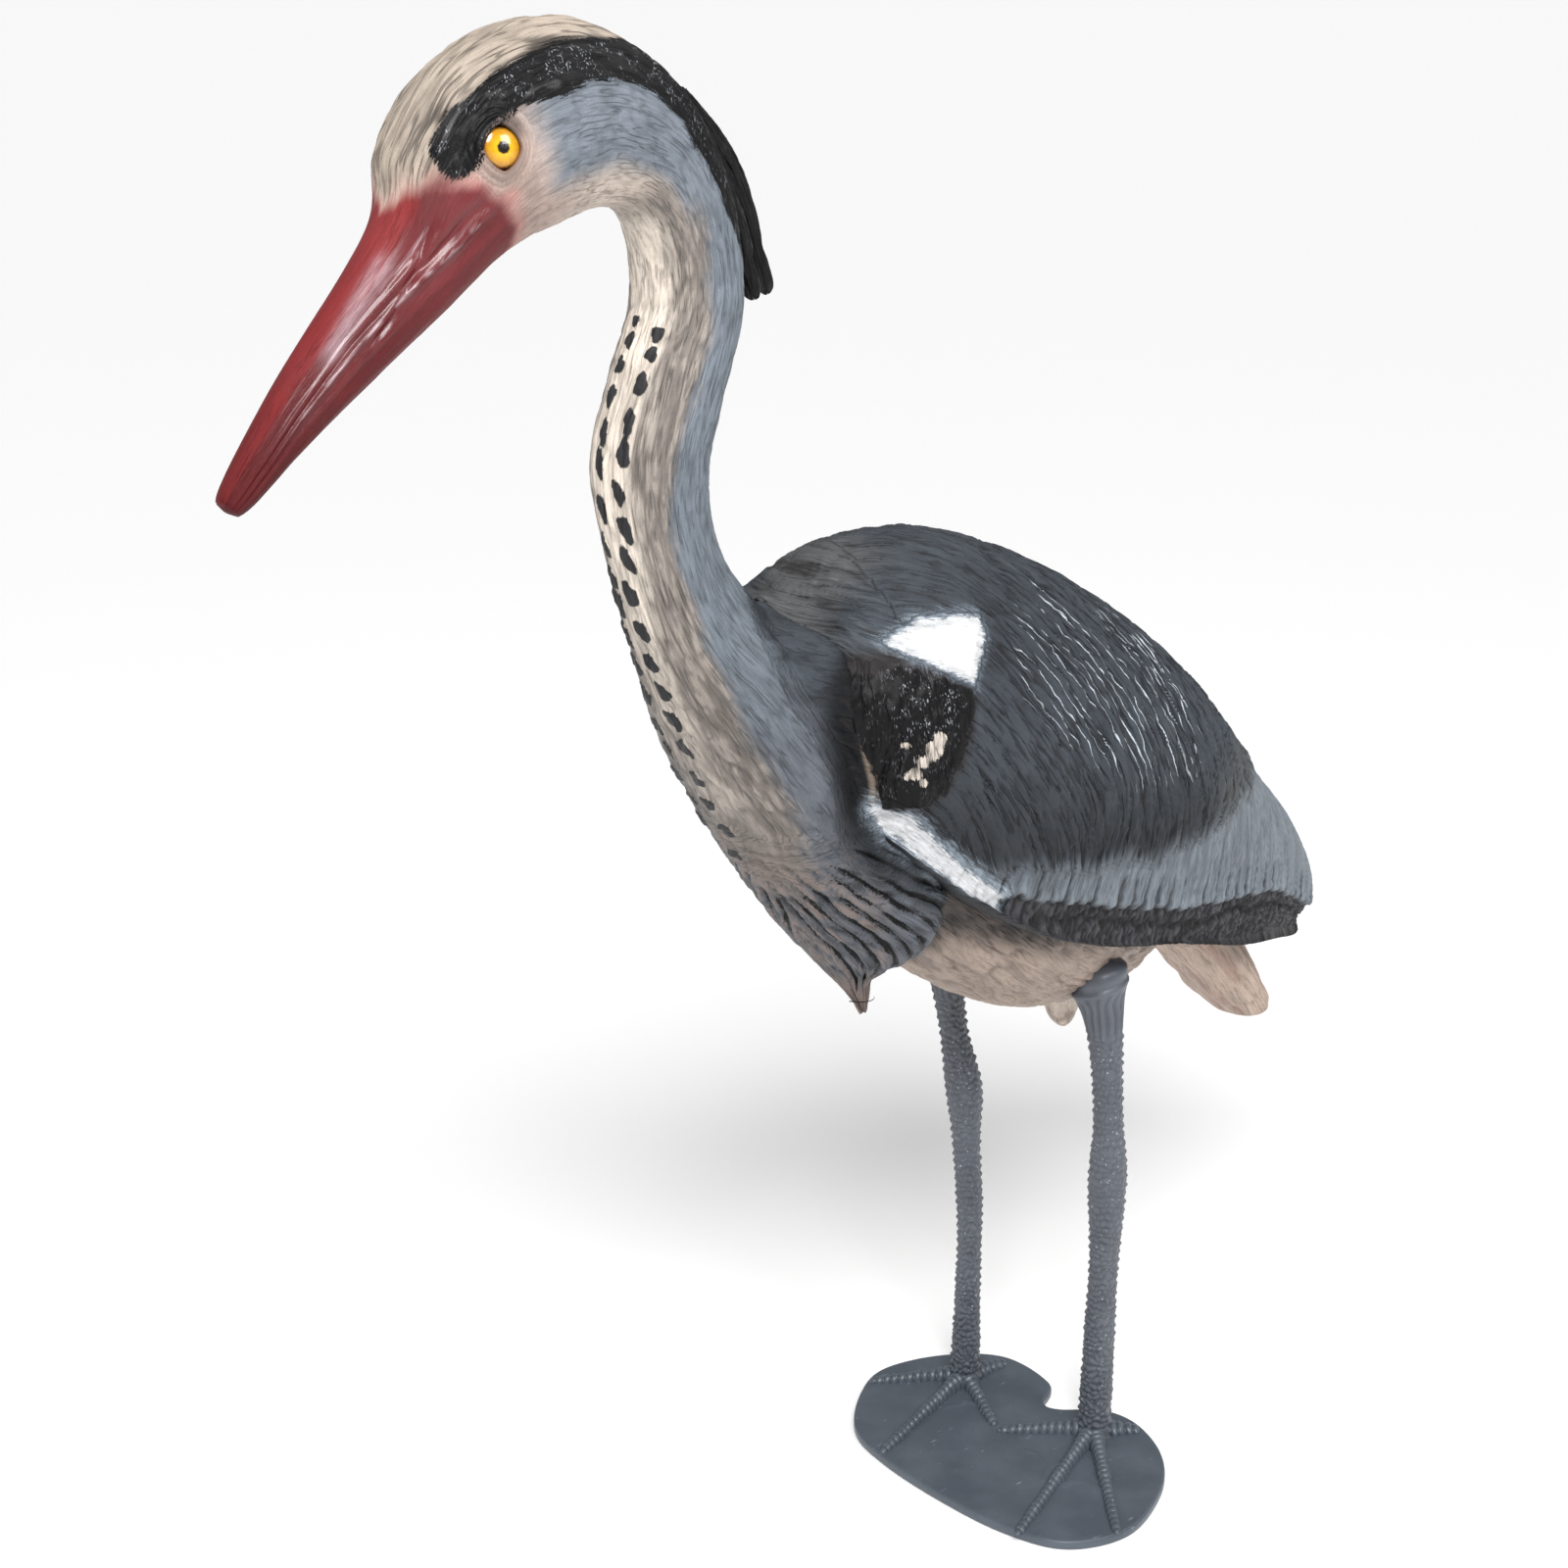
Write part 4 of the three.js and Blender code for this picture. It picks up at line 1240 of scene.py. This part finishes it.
    # Paint of the coverts, the secondaries and the primaries. The blue and the grey of the primaries are
    # painted darker in the grooves of the relief and lighter on its ridges, as painted shade.
    mottled = rough(tailward / 30, down / 30, lean * 2, 260)
    blue = layered(
        blend(WING_BLUE * 0.93, WING_BLUE * 1.05, between(relief, 0.4, 1.0)),
        (WING_BLUE * 1.22, between(y, 60, 180) * (0.8 + 0.5 * mottled)),
        (SLATE * 1.15, 0.45 * between(y, -60, -125)),
        (WING_BLUE * 1.3, 0.6 * between(ends, -9, -2)),
        (SLATE * 0.7, 0.85 * split),
    )
    seam = distance_to(coarse_neck, grid, 14) + 1.5 * noise(z / 5, x / 4, 0, 275)
    front = between(seam, track(z, (410, 3), (436, 6.5)), track(z, (410, 1), (436, 4)))
    front = front * between(z + 2 * noise(y / 3, x / 3, 0, 273), 441, 434) * between(z, 404, 411) * flank
    paint = layered(
        SLATE * (1 + 0.16 * mottled + 0.3 * between(y, 20, 120))[..., None],
        (MANTLE, 0.8 * between(y, -135, -172) * between(np.abs(x), 34, 16)),
        (UMBER, between(fringe, -34, -6) * between(y, 20, 90) * 0.6),
        (SLATE * 0.42, 0.9 * between(fringe, -64, -8) * between(y, 90, 0)),
        (blue, between(fringe + 4 * (arcs - 0.5), -10, 6) * over),
        (blend(PRIMARY_GREY * 0.25, PRIMARY_GREY, between(relief, 0.4, 1.0)), primary),
        (colour(46, 43, 44), between(dark, -6, 1) * flank),
        (CRESCENT, 0.85 * front),
        (colour(58, 60, 63), between(over, 0.9, 0.1)),
    )

    # Paints with an edge: the black patch, its chips, the white paint and the brush lines.
    faded = between(z + 6 * noise(y / 4, z / 9, lean, 274), 456, 470)
    black = np.where(flank, dark - 1.0 - 9 * front - 5.5 * faded, FAR_OFF)
    gloss = 0.16 * between(dark, -1, 4) * flank + 0.12
    chip = np.full(y.shape, FAR_OFF)
    for chip_y, chip_z, radius in CHIPS:
        chip = np.maximum(chip, radius - np.hypot(y - chip_y, z - chip_z))
    chip = np.where(flank, chip + 1.4 * rough(y / 3.4, z / 3.4, lean, 272), FAR_OFF)
    white = np.where(flank, white, FAR_OFF)
    lined = between(inside(y, z, LINED) + 5 * noise(y / 14, z / 14, lean, 290), 0, 5)
    lined = lined * (1 - secondary) * flank
    # Painted sparks of light on the black patch, strongest high in its middle.
    wet = lerp(0.2, 1.0, band(z, 434, 446, 465, 473) * between(y, -184, -176))
    wet = wet * between(dark, 2, 6) * flank * (1 - front)

    # Dark wash in the grooves, fine cuts, and the way that both run.
    painted_white = between(white, -2.5, -0.5)
    wash = lerp(0.7 - 0.6 * painted_white, 0.12, secondary) + 0.85 * split * secondary + 0.4 * primary
    carve = lerp(1.15 * calm, 0.5, secondary) * (1 - 0.6 * painted_white)
    carve = carve * np.abs(2 * level - 1) * np.abs(2 * upright - 1) * between(np.abs(fringe), 0.8, 3.5)
    flow = layered(
        columns(start / 5.2, lean * 2, run / 24),
        (columns(slant / 1.9, lean * 2, z / 14), between(fringe, -1, 1)),
        (columns(y / 2.2, lean * 2, z / 9), upright > 0.5),
        (columns((z + 0.3 * y) / 3.2, lean, y / 16), level > 0.5),
        (columns((z + 0.15 * y) / 3.2, lean, y / 7), (white > -1.5) & (z > 435)),
        (columns((0.66 * y + 0.75 * z) / 3.2, lean, (0.75 * y - 0.66 * z) / 9), (white > -3) & (z < 435)),
    )
    looks = body_looks(
        grid, paint, relief * over, black=black, white=white, chip=chip, gloss=gloss, wash=wash * over,
        flow=flow, carve=carve * over, lined=lined, wet=wet,
    )
    add_tube("back_wings", grid, "body", PAINTED, **looks)


make_wings()


# Belly, tail, tuft and crest


def make_belly():
    """Wrinkled belly and faceted tail, with painted shadow under the wings and beside the lobe of the breast.
    """
    turns = round_turns(200)
    stations = evenly(BELLY, (0, 1.7), (8, 1.6))
    grid = body_grid(BELLY, stations, turns)
    c = Skin(BELLY, stations, turns, 40)
    sway = 2 * c.grain(20, 30, 301, noise)
    ring_x, ring_y, run = c.ring_x, c.ring_y, c.run
    relief = strands(ring_x / 3.8 + sway * 0.5, ring_y / 3.8 + run / 40, run / 26, 300, 2.4)
    facets = np.abs(c.grain(16, 26, 305, noise))
    tail = between(c.at, 5.2, 6.2)
    height = lerp(2.0, 0.5, tail) * (relief - 0.6) + tail * 3.0 * (facets - 0.3)
    height = height + 0.8 * c.grain(9, 14, 302) * (1 - tail)
    grid = push(grid, height * between(c.at, 8, 7.7))

    # Painted shadow: dark paint and more dark wash under the wings and beside the lobe of the breast.
    top = grid[..., 2] - track(grid[..., 1], *BELLY_TOP)
    painted_shadow = between(top + 3 * c.grain(10, 12, 311, noise), -12, 8) * (1 - tail)
    gap = distance_to(coarse_neck, grid, 30)
    painted_shadow = np.maximum(painted_shadow, between(gap + 3 * c.grain(6, 16, 313, noise), 17, 1))
    paint = layered(
        blend(BELLY_BEIGE, TAUPE, 0.25 + 0.2 * c.grain(18, 30, 310)),
        (colour(52, 50, 50), 0.85 * painted_shadow),
        (BELLY_BEIGE * 1.22, tail),
        (colour(164, 132, 122), 0.6 * tail * between(c.grain(9, 45, 312, noise), 0.1, 0.6)),
    )
    flow = columns(ring_x / 2.3 + 0.3 * sway, ring_y / 2.3 + run / 24, run / 15)
    carve = 0.45 + 0.4 * painted_shadow - 0.2 * tail
    looks = body_looks(grid, paint, relief, flow=flow, wash=0.2 + 0.4 * painted_shadow, carve=carve)
    add_tube("belly_tail", grid, "body", PAINTED, **looks)


def make_tuft():
    grid = body_grid(TUFT, np.linspace(0, 3, 34), round_turns(40))
    relief = strands(grid[..., 0] / 4, grid[..., 1] / 4, grid[..., 2] / 24, 320)
    grid = push(grid, 0.3 * (relief - 0.6))
    paint = blend(BELLY_BEIGE * 1.15, CREAM, relief * 0.7)
    add_tube("belly_tuft", grid, "body", PAINTED, **body_looks(grid, paint, relief, wash=0.15, carve=0.15))


def make_strand(name, offset, line):
    points = smooth(line, np.linspace(0, 3, 150))
    share = np.linspace(0, 1, len(points))
    heading = np.gradient(points, axis=0)
    lean = np.degrees(np.arctan2(heading[:, 1], heading[:, 0])) + 90
    radius = STRAND_RADIUS + (STRAND_TIP_RADIUS - STRAND_RADIUS) * share
    radius = radius * rounded(share, 0.93, 0.07, 0.03)
    turns = round_turns(60)
    grid = body_grid(columns(*points.T, radius, radius, lean), np.arange(len(points)), turns)
    ring_x, ring_y = np.cos(np.radians(turns)), np.sin(np.radians(turns))
    run = STRAND_LENGTH * share[:, None]
    relief = strands(2.6 * ring_x, 2.6 * ring_y, run / 30, 330 + offset, 2.6)
    height = 1.3 * (relief - 0.6) - 1.1 * bell((share - 0.8)[:, None] - 0.05 * ring_x, 0.03)
    grid = push(grid, height + 0.4 * rough(2 * ring_x, 2 * ring_y, run / 7, 340))
    grid[..., 0] += offset
    flow = columns(2.5 * ring_x, 2.5 * ring_y, run / 12)
    looks = body_looks(grid, SOOT * 1.3, relief, flow=flow, gloss=0.4, wash=0.6, carve=0.8)
    add_tube(name, grid, "body", PAINTED, **looks)


make_belly()
make_tuft()
for name, (offset, line) in STRANDS.items():
    make_strand(name, offset, line)


# Eyes and lids


def eye_axes(side):
    """The eye's centre and three directions: out of the head, back along the head, and up."""
    centre = np.array([EYE_CENTRE[0] * side, EYE_CENTRE[1], EYE_CENTRE[2] + PLATE_THICK])
    out = np.array([EYE_AXIS[0] * side, EYE_AXIS[1], EYE_AXIS[2]])
    out /= np.linalg.norm(out)
    up = np.array([0, 0, 1.0]) - out * out[2]
    up /= np.linalg.norm(up)
    back = np.cross(up, out) * side
    return centre, out, back, up


def make_eye(name, side):
    centre, out, back, up = eye_axes(side)
    profile = [(-EYE_SHANK, EYE_RADIUS), (-EYE_SHANK / 2, EYE_RADIUS), (0, EYE_RADIUS)]
    for turn in np.linspace(0, math.pi / 2, 26)[1:-1]:
        profile.append((EYE_DOME * math.sin(turn), EYE_RADIUS * math.cos(turn)))
    profile.append((EYE_DOME, 0.2))
    height, size = np.array(profile).T[:, :, None]
    turn = circle(64)[None]
    level = columns(size * np.cos(turn), size * np.sin(turn))
    grid = centre + height[..., None] * out + level[..., :1] * back + level[..., 1:] * up
    around = columns(2 * np.cos(turn), 2 * np.sin(turn), size / 9)
    add_tube(name, grid, name, AMBER, rho=np.hypot(level[..., 0], level[..., 1]), around=around)


LID_OPENING = (7.4, 8.5)
LID_CORNERS = 1.55
LID_WIDTH = 9.5
LID_RING = 2.3
LID_RISE = [
    (0, 2.7), (0.35, 3.15), (0.9, 3.1), (2.2, 2.2), (4.5, 1.1), (7.5, 0.35), (9.0, 0.0), (LID_WIDTH, -0.4),
]


def make_lid(name, side, head, finder):
    """Bare skin round the eye: a rim on the eyeball, then low rings that run out on the head."""
    centre, out, back, up = eye_axes(side)
    above = 30
    turn = circle(160)
    level, upright = np.abs(np.cos(turn) / LID_OPENING[0]), np.abs(np.sin(turn) / LID_OPENING[1])
    diamond = 1 / (level**LID_CORNERS + upright**LID_CORNERS) ** (1 / LID_CORNERS)
    gaps = np.concatenate([[0, 0, 0.35], np.linspace(0.8, LID_WIDTH, 34)])
    rings = np.cos(gaps * 2 * math.pi / LID_RING)
    rise = track(gaps, *LID_RISE) + 0.28 * rings * band(gaps, 0.6, 1.6, 5, 8.5)
    rise[0] = 1.4
    grid = np.zeros((len(gaps), len(turn), 3))
    index = np.zeros(grid.shape[:2], int)
    for i, gap in enumerate(gaps):
        for j, angle in enumerate(turn):
            reach = diamond[j] + gap
            ray = centre + above * out + reach * (math.cos(angle) * back + math.sin(angle) * up)
            hit = head.ray_cast(Vector(ray), Vector(-out))[0]
            base = (hit - Vector(centre)).dot(Vector(out)) if hit else 0
            grid[i, j] = ray + (base * between(gap, 0, 5) + rise[i] - above) * out
            index[i, j] = finder.find(Vector(grid[i, j]))[1]
    off = gaps[:, None]
    paint = layered(
        blend(SKIN, colour(120, 92, 78), between(off, 1.2, 0.2)),
        (colour(70, 62, 58), 0.75 * between(np.sin(turn)[None], 0.1, 0.8)),
        (neck_looks["paint"].reshape(-1, 3)[index], between(off, 4.0, 8.5)),
    )
    relief = 1 - 0.35 * (0.5 - 0.5 * rings[:, None]) * between(off, 9, 5)
    black = neck_looks["black"].ravel()[index]
    looks = body_looks(grid, paint, relief, black=black, wash=0.35, gloss=0.25, carve=0.0)
    looks = {key: spread(key, values, grid) for key, values in looks.items()}
    looks = {key: values.reshape(-1, *values.shape[2:]) for key, values in looks.items()}
    points = grid.reshape(-1, 3)
    quads = faces_of(*grid.shape[:2])
    first, second, _, fourth = points[quads[0]]
    if np.dot(np.cross(second - first, fourth - first), out) < 0:
        quads = quads[:, ::-1]
    dress(add_mesh(name, points, quads, NO_TRIANGLES, looks), "body", PAINTED)


def make_eyes():
    """Both eyes and lids; the lids take their paint from the nearest points of the head."""
    points = neck.reshape(-1, 3)
    face_y, face_z = -330, 650
    near = np.flatnonzero((points[:, 1] < face_y) & (points[:, 2] > face_z))
    finder = KDTree(len(near))
    for index in near:
        finder.insert(Vector(points[index]), int(index))
    finder.balance()
    head = tree_of(neck)
    for side, word in ((1, "left"), (-1, "right")):
        make_eye("eye_" + word, side)
        make_lid("eyelid_" + word, side, head, finder)


make_eyes()


# Legs, feet and base plate


def leg_ring(stations, turn):
    x, y, z, radius = stations.T[:, :, None]
    return columns(x + radius * np.cos(turn), y + radius * np.sin(turn), z + PLATE_THICK)


def near_turn(turn, place):
    """Angle from one direction round the leg, between plus and minus half a turn."""
    return (turn - place + math.pi) % (2 * math.pi) - math.pi


STUD_ROWS = [(0.9, 1.0), (-2.2, 1.0), (2.4, 0.4), (-0.75, 0.4)]
STUD_PITCH = 4.9
SCALE_HEIGHT = 3.5
SCALE_COUNT = 13
CUP_FLUTES = 15


def make_leg(name, table):
    """A scaled shank with rows of studs, and a fluted cup under the stem that stands in the belly."""
    turn = circle(72)[None]
    shank = smooth(table, evenly(table, (0, 0.8), (7, 0.8), size=3))
    x, y, rim, size = table[-1]
    lip = [[x, y, rim + up, size + wider] for up, wider in LIP]
    for up, smaller in ((16, 4), (20, 4.2), (PLUG_HEIGHT, 4.5)):
        lip.append([x, y, rim + up, PLUG_RADIUS - smaller])
    sole = [[shank[0][0], shank[0][1], -2, shank[0][3]]]
    grid = leg_ring(np.concatenate([sole, shank, lip]), turn)
    z = grid[..., 2].copy()
    tilt = 0.3 * band(z, rim - 20, rim, rim + 12, rim + 26)
    grid[..., 2] += tilt * ((grid[..., 0] - x) + (grid[..., 1] - y)) / math.sqrt(2)

    # Scales in staggered belts, studs in rows, flutes on the cup.
    belt = z / SCALE_HEIGHT + 0.9 * noise(z / 6, 1.6 * np.cos(turn), 1.6 * np.sin(turn), 400)
    stagger = 0.5 * (whole(np.floor(belt)) % 2)
    scale = turn / (2 * math.pi) * SCALE_COUNT + stagger
    scale = (scale + 0.6 * noise(z / 6, 2 * np.cos(turn), 2 * np.sin(turn), 401)) % 1
    bumps = np.clip(np.sin(math.pi * (belt % 1)) * np.sin(math.pi * scale), 0, 1) ** 0.6
    fluted = 0.5 + 0.5 * np.cos(turn * CUP_FLUTES + 2.2 * noise(z / 8, np.cos(turn), np.sin(turn), 402))
    studs = np.zeros(z.shape)
    for place, high in STUD_ROWS:
        bead = np.abs(np.sin(math.pi * (z + 6 * place) / STUD_PITCH)) ** 1.5
        studs = np.maximum(studs, high * bell(near_turn(turn, place), 0.2) * bead)

    share = np.arange(len(grid))[:, None] / (len(shank) + 1)
    cup = between(z, rim - 24, rim - 13) * (share < 1)
    bare = between(share, 0.999, 1.0)
    shaft = (1 - cup) * (1 - bare)
    calm, slim = 1.0, 0.7
    if x > 0:
        calm, slim = lerp(1.0, 0.55, between(z, 120, 170) * bell(near_turn(turn, -0.8), 0.7)), 0.2
    low = between(z, 90, 20)
    height = shaft * ((0.9 + 0.5 * low) * calm * (bumps - 0.55) + 1.2 * studs - slim * between(z, 130, 90))
    height = height + cup * 1.7 * (fluted**0.7 - 0.7) * between(z, rim + 5, rim - 2)
    height[[0, -1]] = 0
    grid = push(grid, height)
    relief = shaft * lerp(1.0, np.maximum(bumps, studs), 0.85) + cup * (0.35 + 0.65 * fluted) + bare
    add_tube(name, grid, "stand", LEG_PLASTIC, relief=relief, dust=0.5, sparkle=0.8 * shaft)


def make_toe(name, ankle, tip, width):
    """A ringed toe, thick at the ankle and rounded at its tip."""
    (ax, ay), (tx, ty) = ankle, tip
    length = math.hypot(tx - ax, ty - ay)
    across_x, across_y = -(ty - ay) / length, (tx - ax) / length
    share = np.concatenate([np.linspace(0, 1, int(length / 0.55)), [1.008, 1.012]])[:, None]
    turn = circle(28)[None]
    taper = rounded(share, 0.94, 0.074, 0.02)
    ringed = np.abs(np.sin(math.pi * share * length / TOE_RING + 0.5 * np.sin(turn)))
    knuckles = bell((share * 3.1) % 1 - 0.5, 0.22)
    swell = 1 + 0.12 * knuckles - 0.36 * (1 - ringed) ** 2
    half = lerp(*TOE_WIDTHS, share) / 2 * taper * swell * width * (1 + 0.3 * bell(share * length - 9, 7))
    high = lerp(*TOE_HEIGHTS, share) * taper * swell
    ridge = np.where(np.sin(turn) > 0, np.sin(turn), 0.5 * np.sin(turn))
    grid = columns(
        ax + (tx - ax) * share + across_x * half * np.cos(turn),
        ay + (ty - ay) * share + across_y * half * np.cos(turn),
        PLATE_THICK + high * ridge - 0.3,
    )
    relief = ringed**0.7
    add_tube(name, grid, "stand", PLATE_PLASTIC, relief=relief, dust=0.6, sparkle=0.6 * relief)


def make_foot(name, ankle, tips):
    for k, tip in enumerate(tips):
        make_toe(f"{name}_toe_{k + 1}", ankle, tip, 1.05 if k == HIND_TOE else 0.78)
    turn = circle(48)[None]
    rise = np.radians(np.linspace(-20, 86, 30))[:, None]
    ringed = np.clip(np.cos(turn * 6 + 3 * rise) * np.cos(rise * 8), 0, 1)
    size = 10.0 + 1.2 * ringed
    grid = columns(
        ankle[0] + size * np.cos(rise) * np.cos(turn),
        ankle[1] + size * np.cos(rise) * np.sin(turn),
        PLATE_THICK + 8.4 * np.sin(rise),
    )
    relief = 0.3 + 0.7 * ringed
    add_tube(name + "_knob", grid, "stand", LEG_PLASTIC, relief=relief, dust=0.4, sparkle=ringed)


def make_plate():
    """The base plate: rings from the underside up and over the rim, then shrinking to the middle."""
    outline = smooth(PLATE, np.linspace(0, len(PLATE), 17 * 14, endpoint=False), True)
    run = np.roll(outline, -1, 0) - np.roll(outline, 1, 0)
    inward = columns(-run[:, 1], run[:, 0]) / np.linalg.norm(run, axis=1)[:, None]
    levels = [(1.0, 0), (0.3, 0.25), (0, 0.9), (0, 2.5), (0, 3.8), (0.25, 4.5), (0.7, 4.85), (1.3, 5)]
    rings = [columns(*(outline + inward * inset).T, z) for inset, z in levels]
    shares = np.linspace(1, 0.01, 70)[1:]
    rings += [PLATE_MIDDLE + (rings[-1] - PLATE_MIDDLE) * share for share in shares]
    grid = np.array(rings)
    x, y = grid[..., 0], grid[..., 1]
    webs = np.min([along_line(x, y, web)[0] for web in WEBS], 0)
    top = (np.arange(len(rings)) >= len(levels))[:, None]
    grid[..., 2] += top * (0.7 * bell(webs, 1.1) + 0.25 * rough(x / 30, y / 30, 0, 500))
    add_tube("base_plate", grid, "stand", PLATE_PLASTIC, relief=1.0, dust=1.0, sparkle=0.0)


for name, table in LEGS.items():
    make_leg(name, table)
for name, (ankle, *tips) in FEET.items():
    make_foot(name, ankle, tips)
make_plate()


def make_whisker():
    """A thin curl of flash left at the tip of the breast."""
    points = [[3, -150, 287], [6, -145, 286], [8, -141, 286], [9, -139, 287], [9, -139, 288.5]]
    line = smooth(points, np.linspace(0, 4, 60))
    turn = circle(8)
    thick = 0.32 - 0.2 * np.linspace(0, 1, len(line))[:, None, None]
    grid = line[:, None] + columns(np.cos(turn), 0, np.sin(turn)) * thick
    add_tube("breast_flash", grid, "body", PAINTED, **body_looks(grid, SOOT, 1.0))


make_whisker()


# Studio: a pale floor, a white surrounding, three wide suns and two windows for the sheen.

FLOOR_HALF = 300
SUNS = [
    ("key", (0.62, -0.6, 0.76), 2.05, 26),
    ("fill", (-0.8, -0.6, 0.6), 0.45, 70),
    ("rim", (0.2, 0.8, 0.9), 0.5, 60),
]
WINDOWS = [
    ((0.6, -0.9, 1.6), (0, -0.4, 0.6), (0.5, 0.35)),
    ((1.1, 0.0, 1.3), (0.05, -0.1, 0.45), (0.5, 0.5)),
]
WINDOW_POWER = 7.0


def add_light(name, kind, toward, power):
    """A light that shines from the given direction."""
    data = bpy.data.lights.new(name, kind)
    data.energy = power
    lamp = add_object(name, data)
    lamp.rotation_euler = (-Vector(toward)).to_track_quat("-Z", "Y").to_euler()
    return lamp


def make_studio():
    ground = bpy.data.meshes.new("floor")
    corners = [(x * FLOOR_HALF, y * FLOOR_HALF, 0) for x, y in ((-1, -1), (1, -1), (1, 1), (-1, 1))]
    ground.from_pydata(corners, [], [(0, 1, 2, 3)])
    n = Nodes("pale_floor")
    n.set(Base_Color=(0.92, 0.92, 0.92), Roughness=0.95, Specular_IOR_Level=0.0)
    n.set(Emission_Color=(1.0, 1.0, 1.0), Emission_Strength=0.13)
    ground.materials.append(n.material)
    add_object("floor", ground)
    world = bpy.data.worlds.new("studio")
    world.use_nodes = True
    background = world.node_tree.nodes["Background"].inputs
    background["Color"].default_value = (1, 1, 1, 1)
    background["Strength"].default_value = 0.26
    bpy.context.scene.world = world
    for name, toward, power, angle in SUNS:
        add_light(name, "SUN", toward, power).data.angle = math.radians(angle)
    for place, aim, (width, height) in WINDOWS:
        lamp = add_light("window", "AREA", Vector(place) - Vector(aim), WINDOW_POWER)
        lamp.location = place
        lamp.data.shape = "RECTANGLE"
        lamp.data.size = width
        lamp.data.size_y = height


make_studio()

# The frame is square, and the focal length is 2592 of its 1600 units of width.
EYE_POINT = Vector((789.5, -981.5, 760)) * MM
AIM_POINT = Vector((-59, -133, 380)) * MM
SENSOR = 36
lens = bpy.data.cameras.new("camera")
lens.sensor_fit = "HORIZONTAL"
lens.sensor_width = SENSOR
lens.lens = SENSOR * 2592 / 1600
camera = add_object("camera", lens)
camera.location = EYE_POINT
camera.rotation_euler = (AIM_POINT - EYE_POINT).to_track_quat("-Z", "Y").to_euler()
bpy.context.scene.camera = camera
bpy.context.scene.view_settings.view_transform = "Standard"
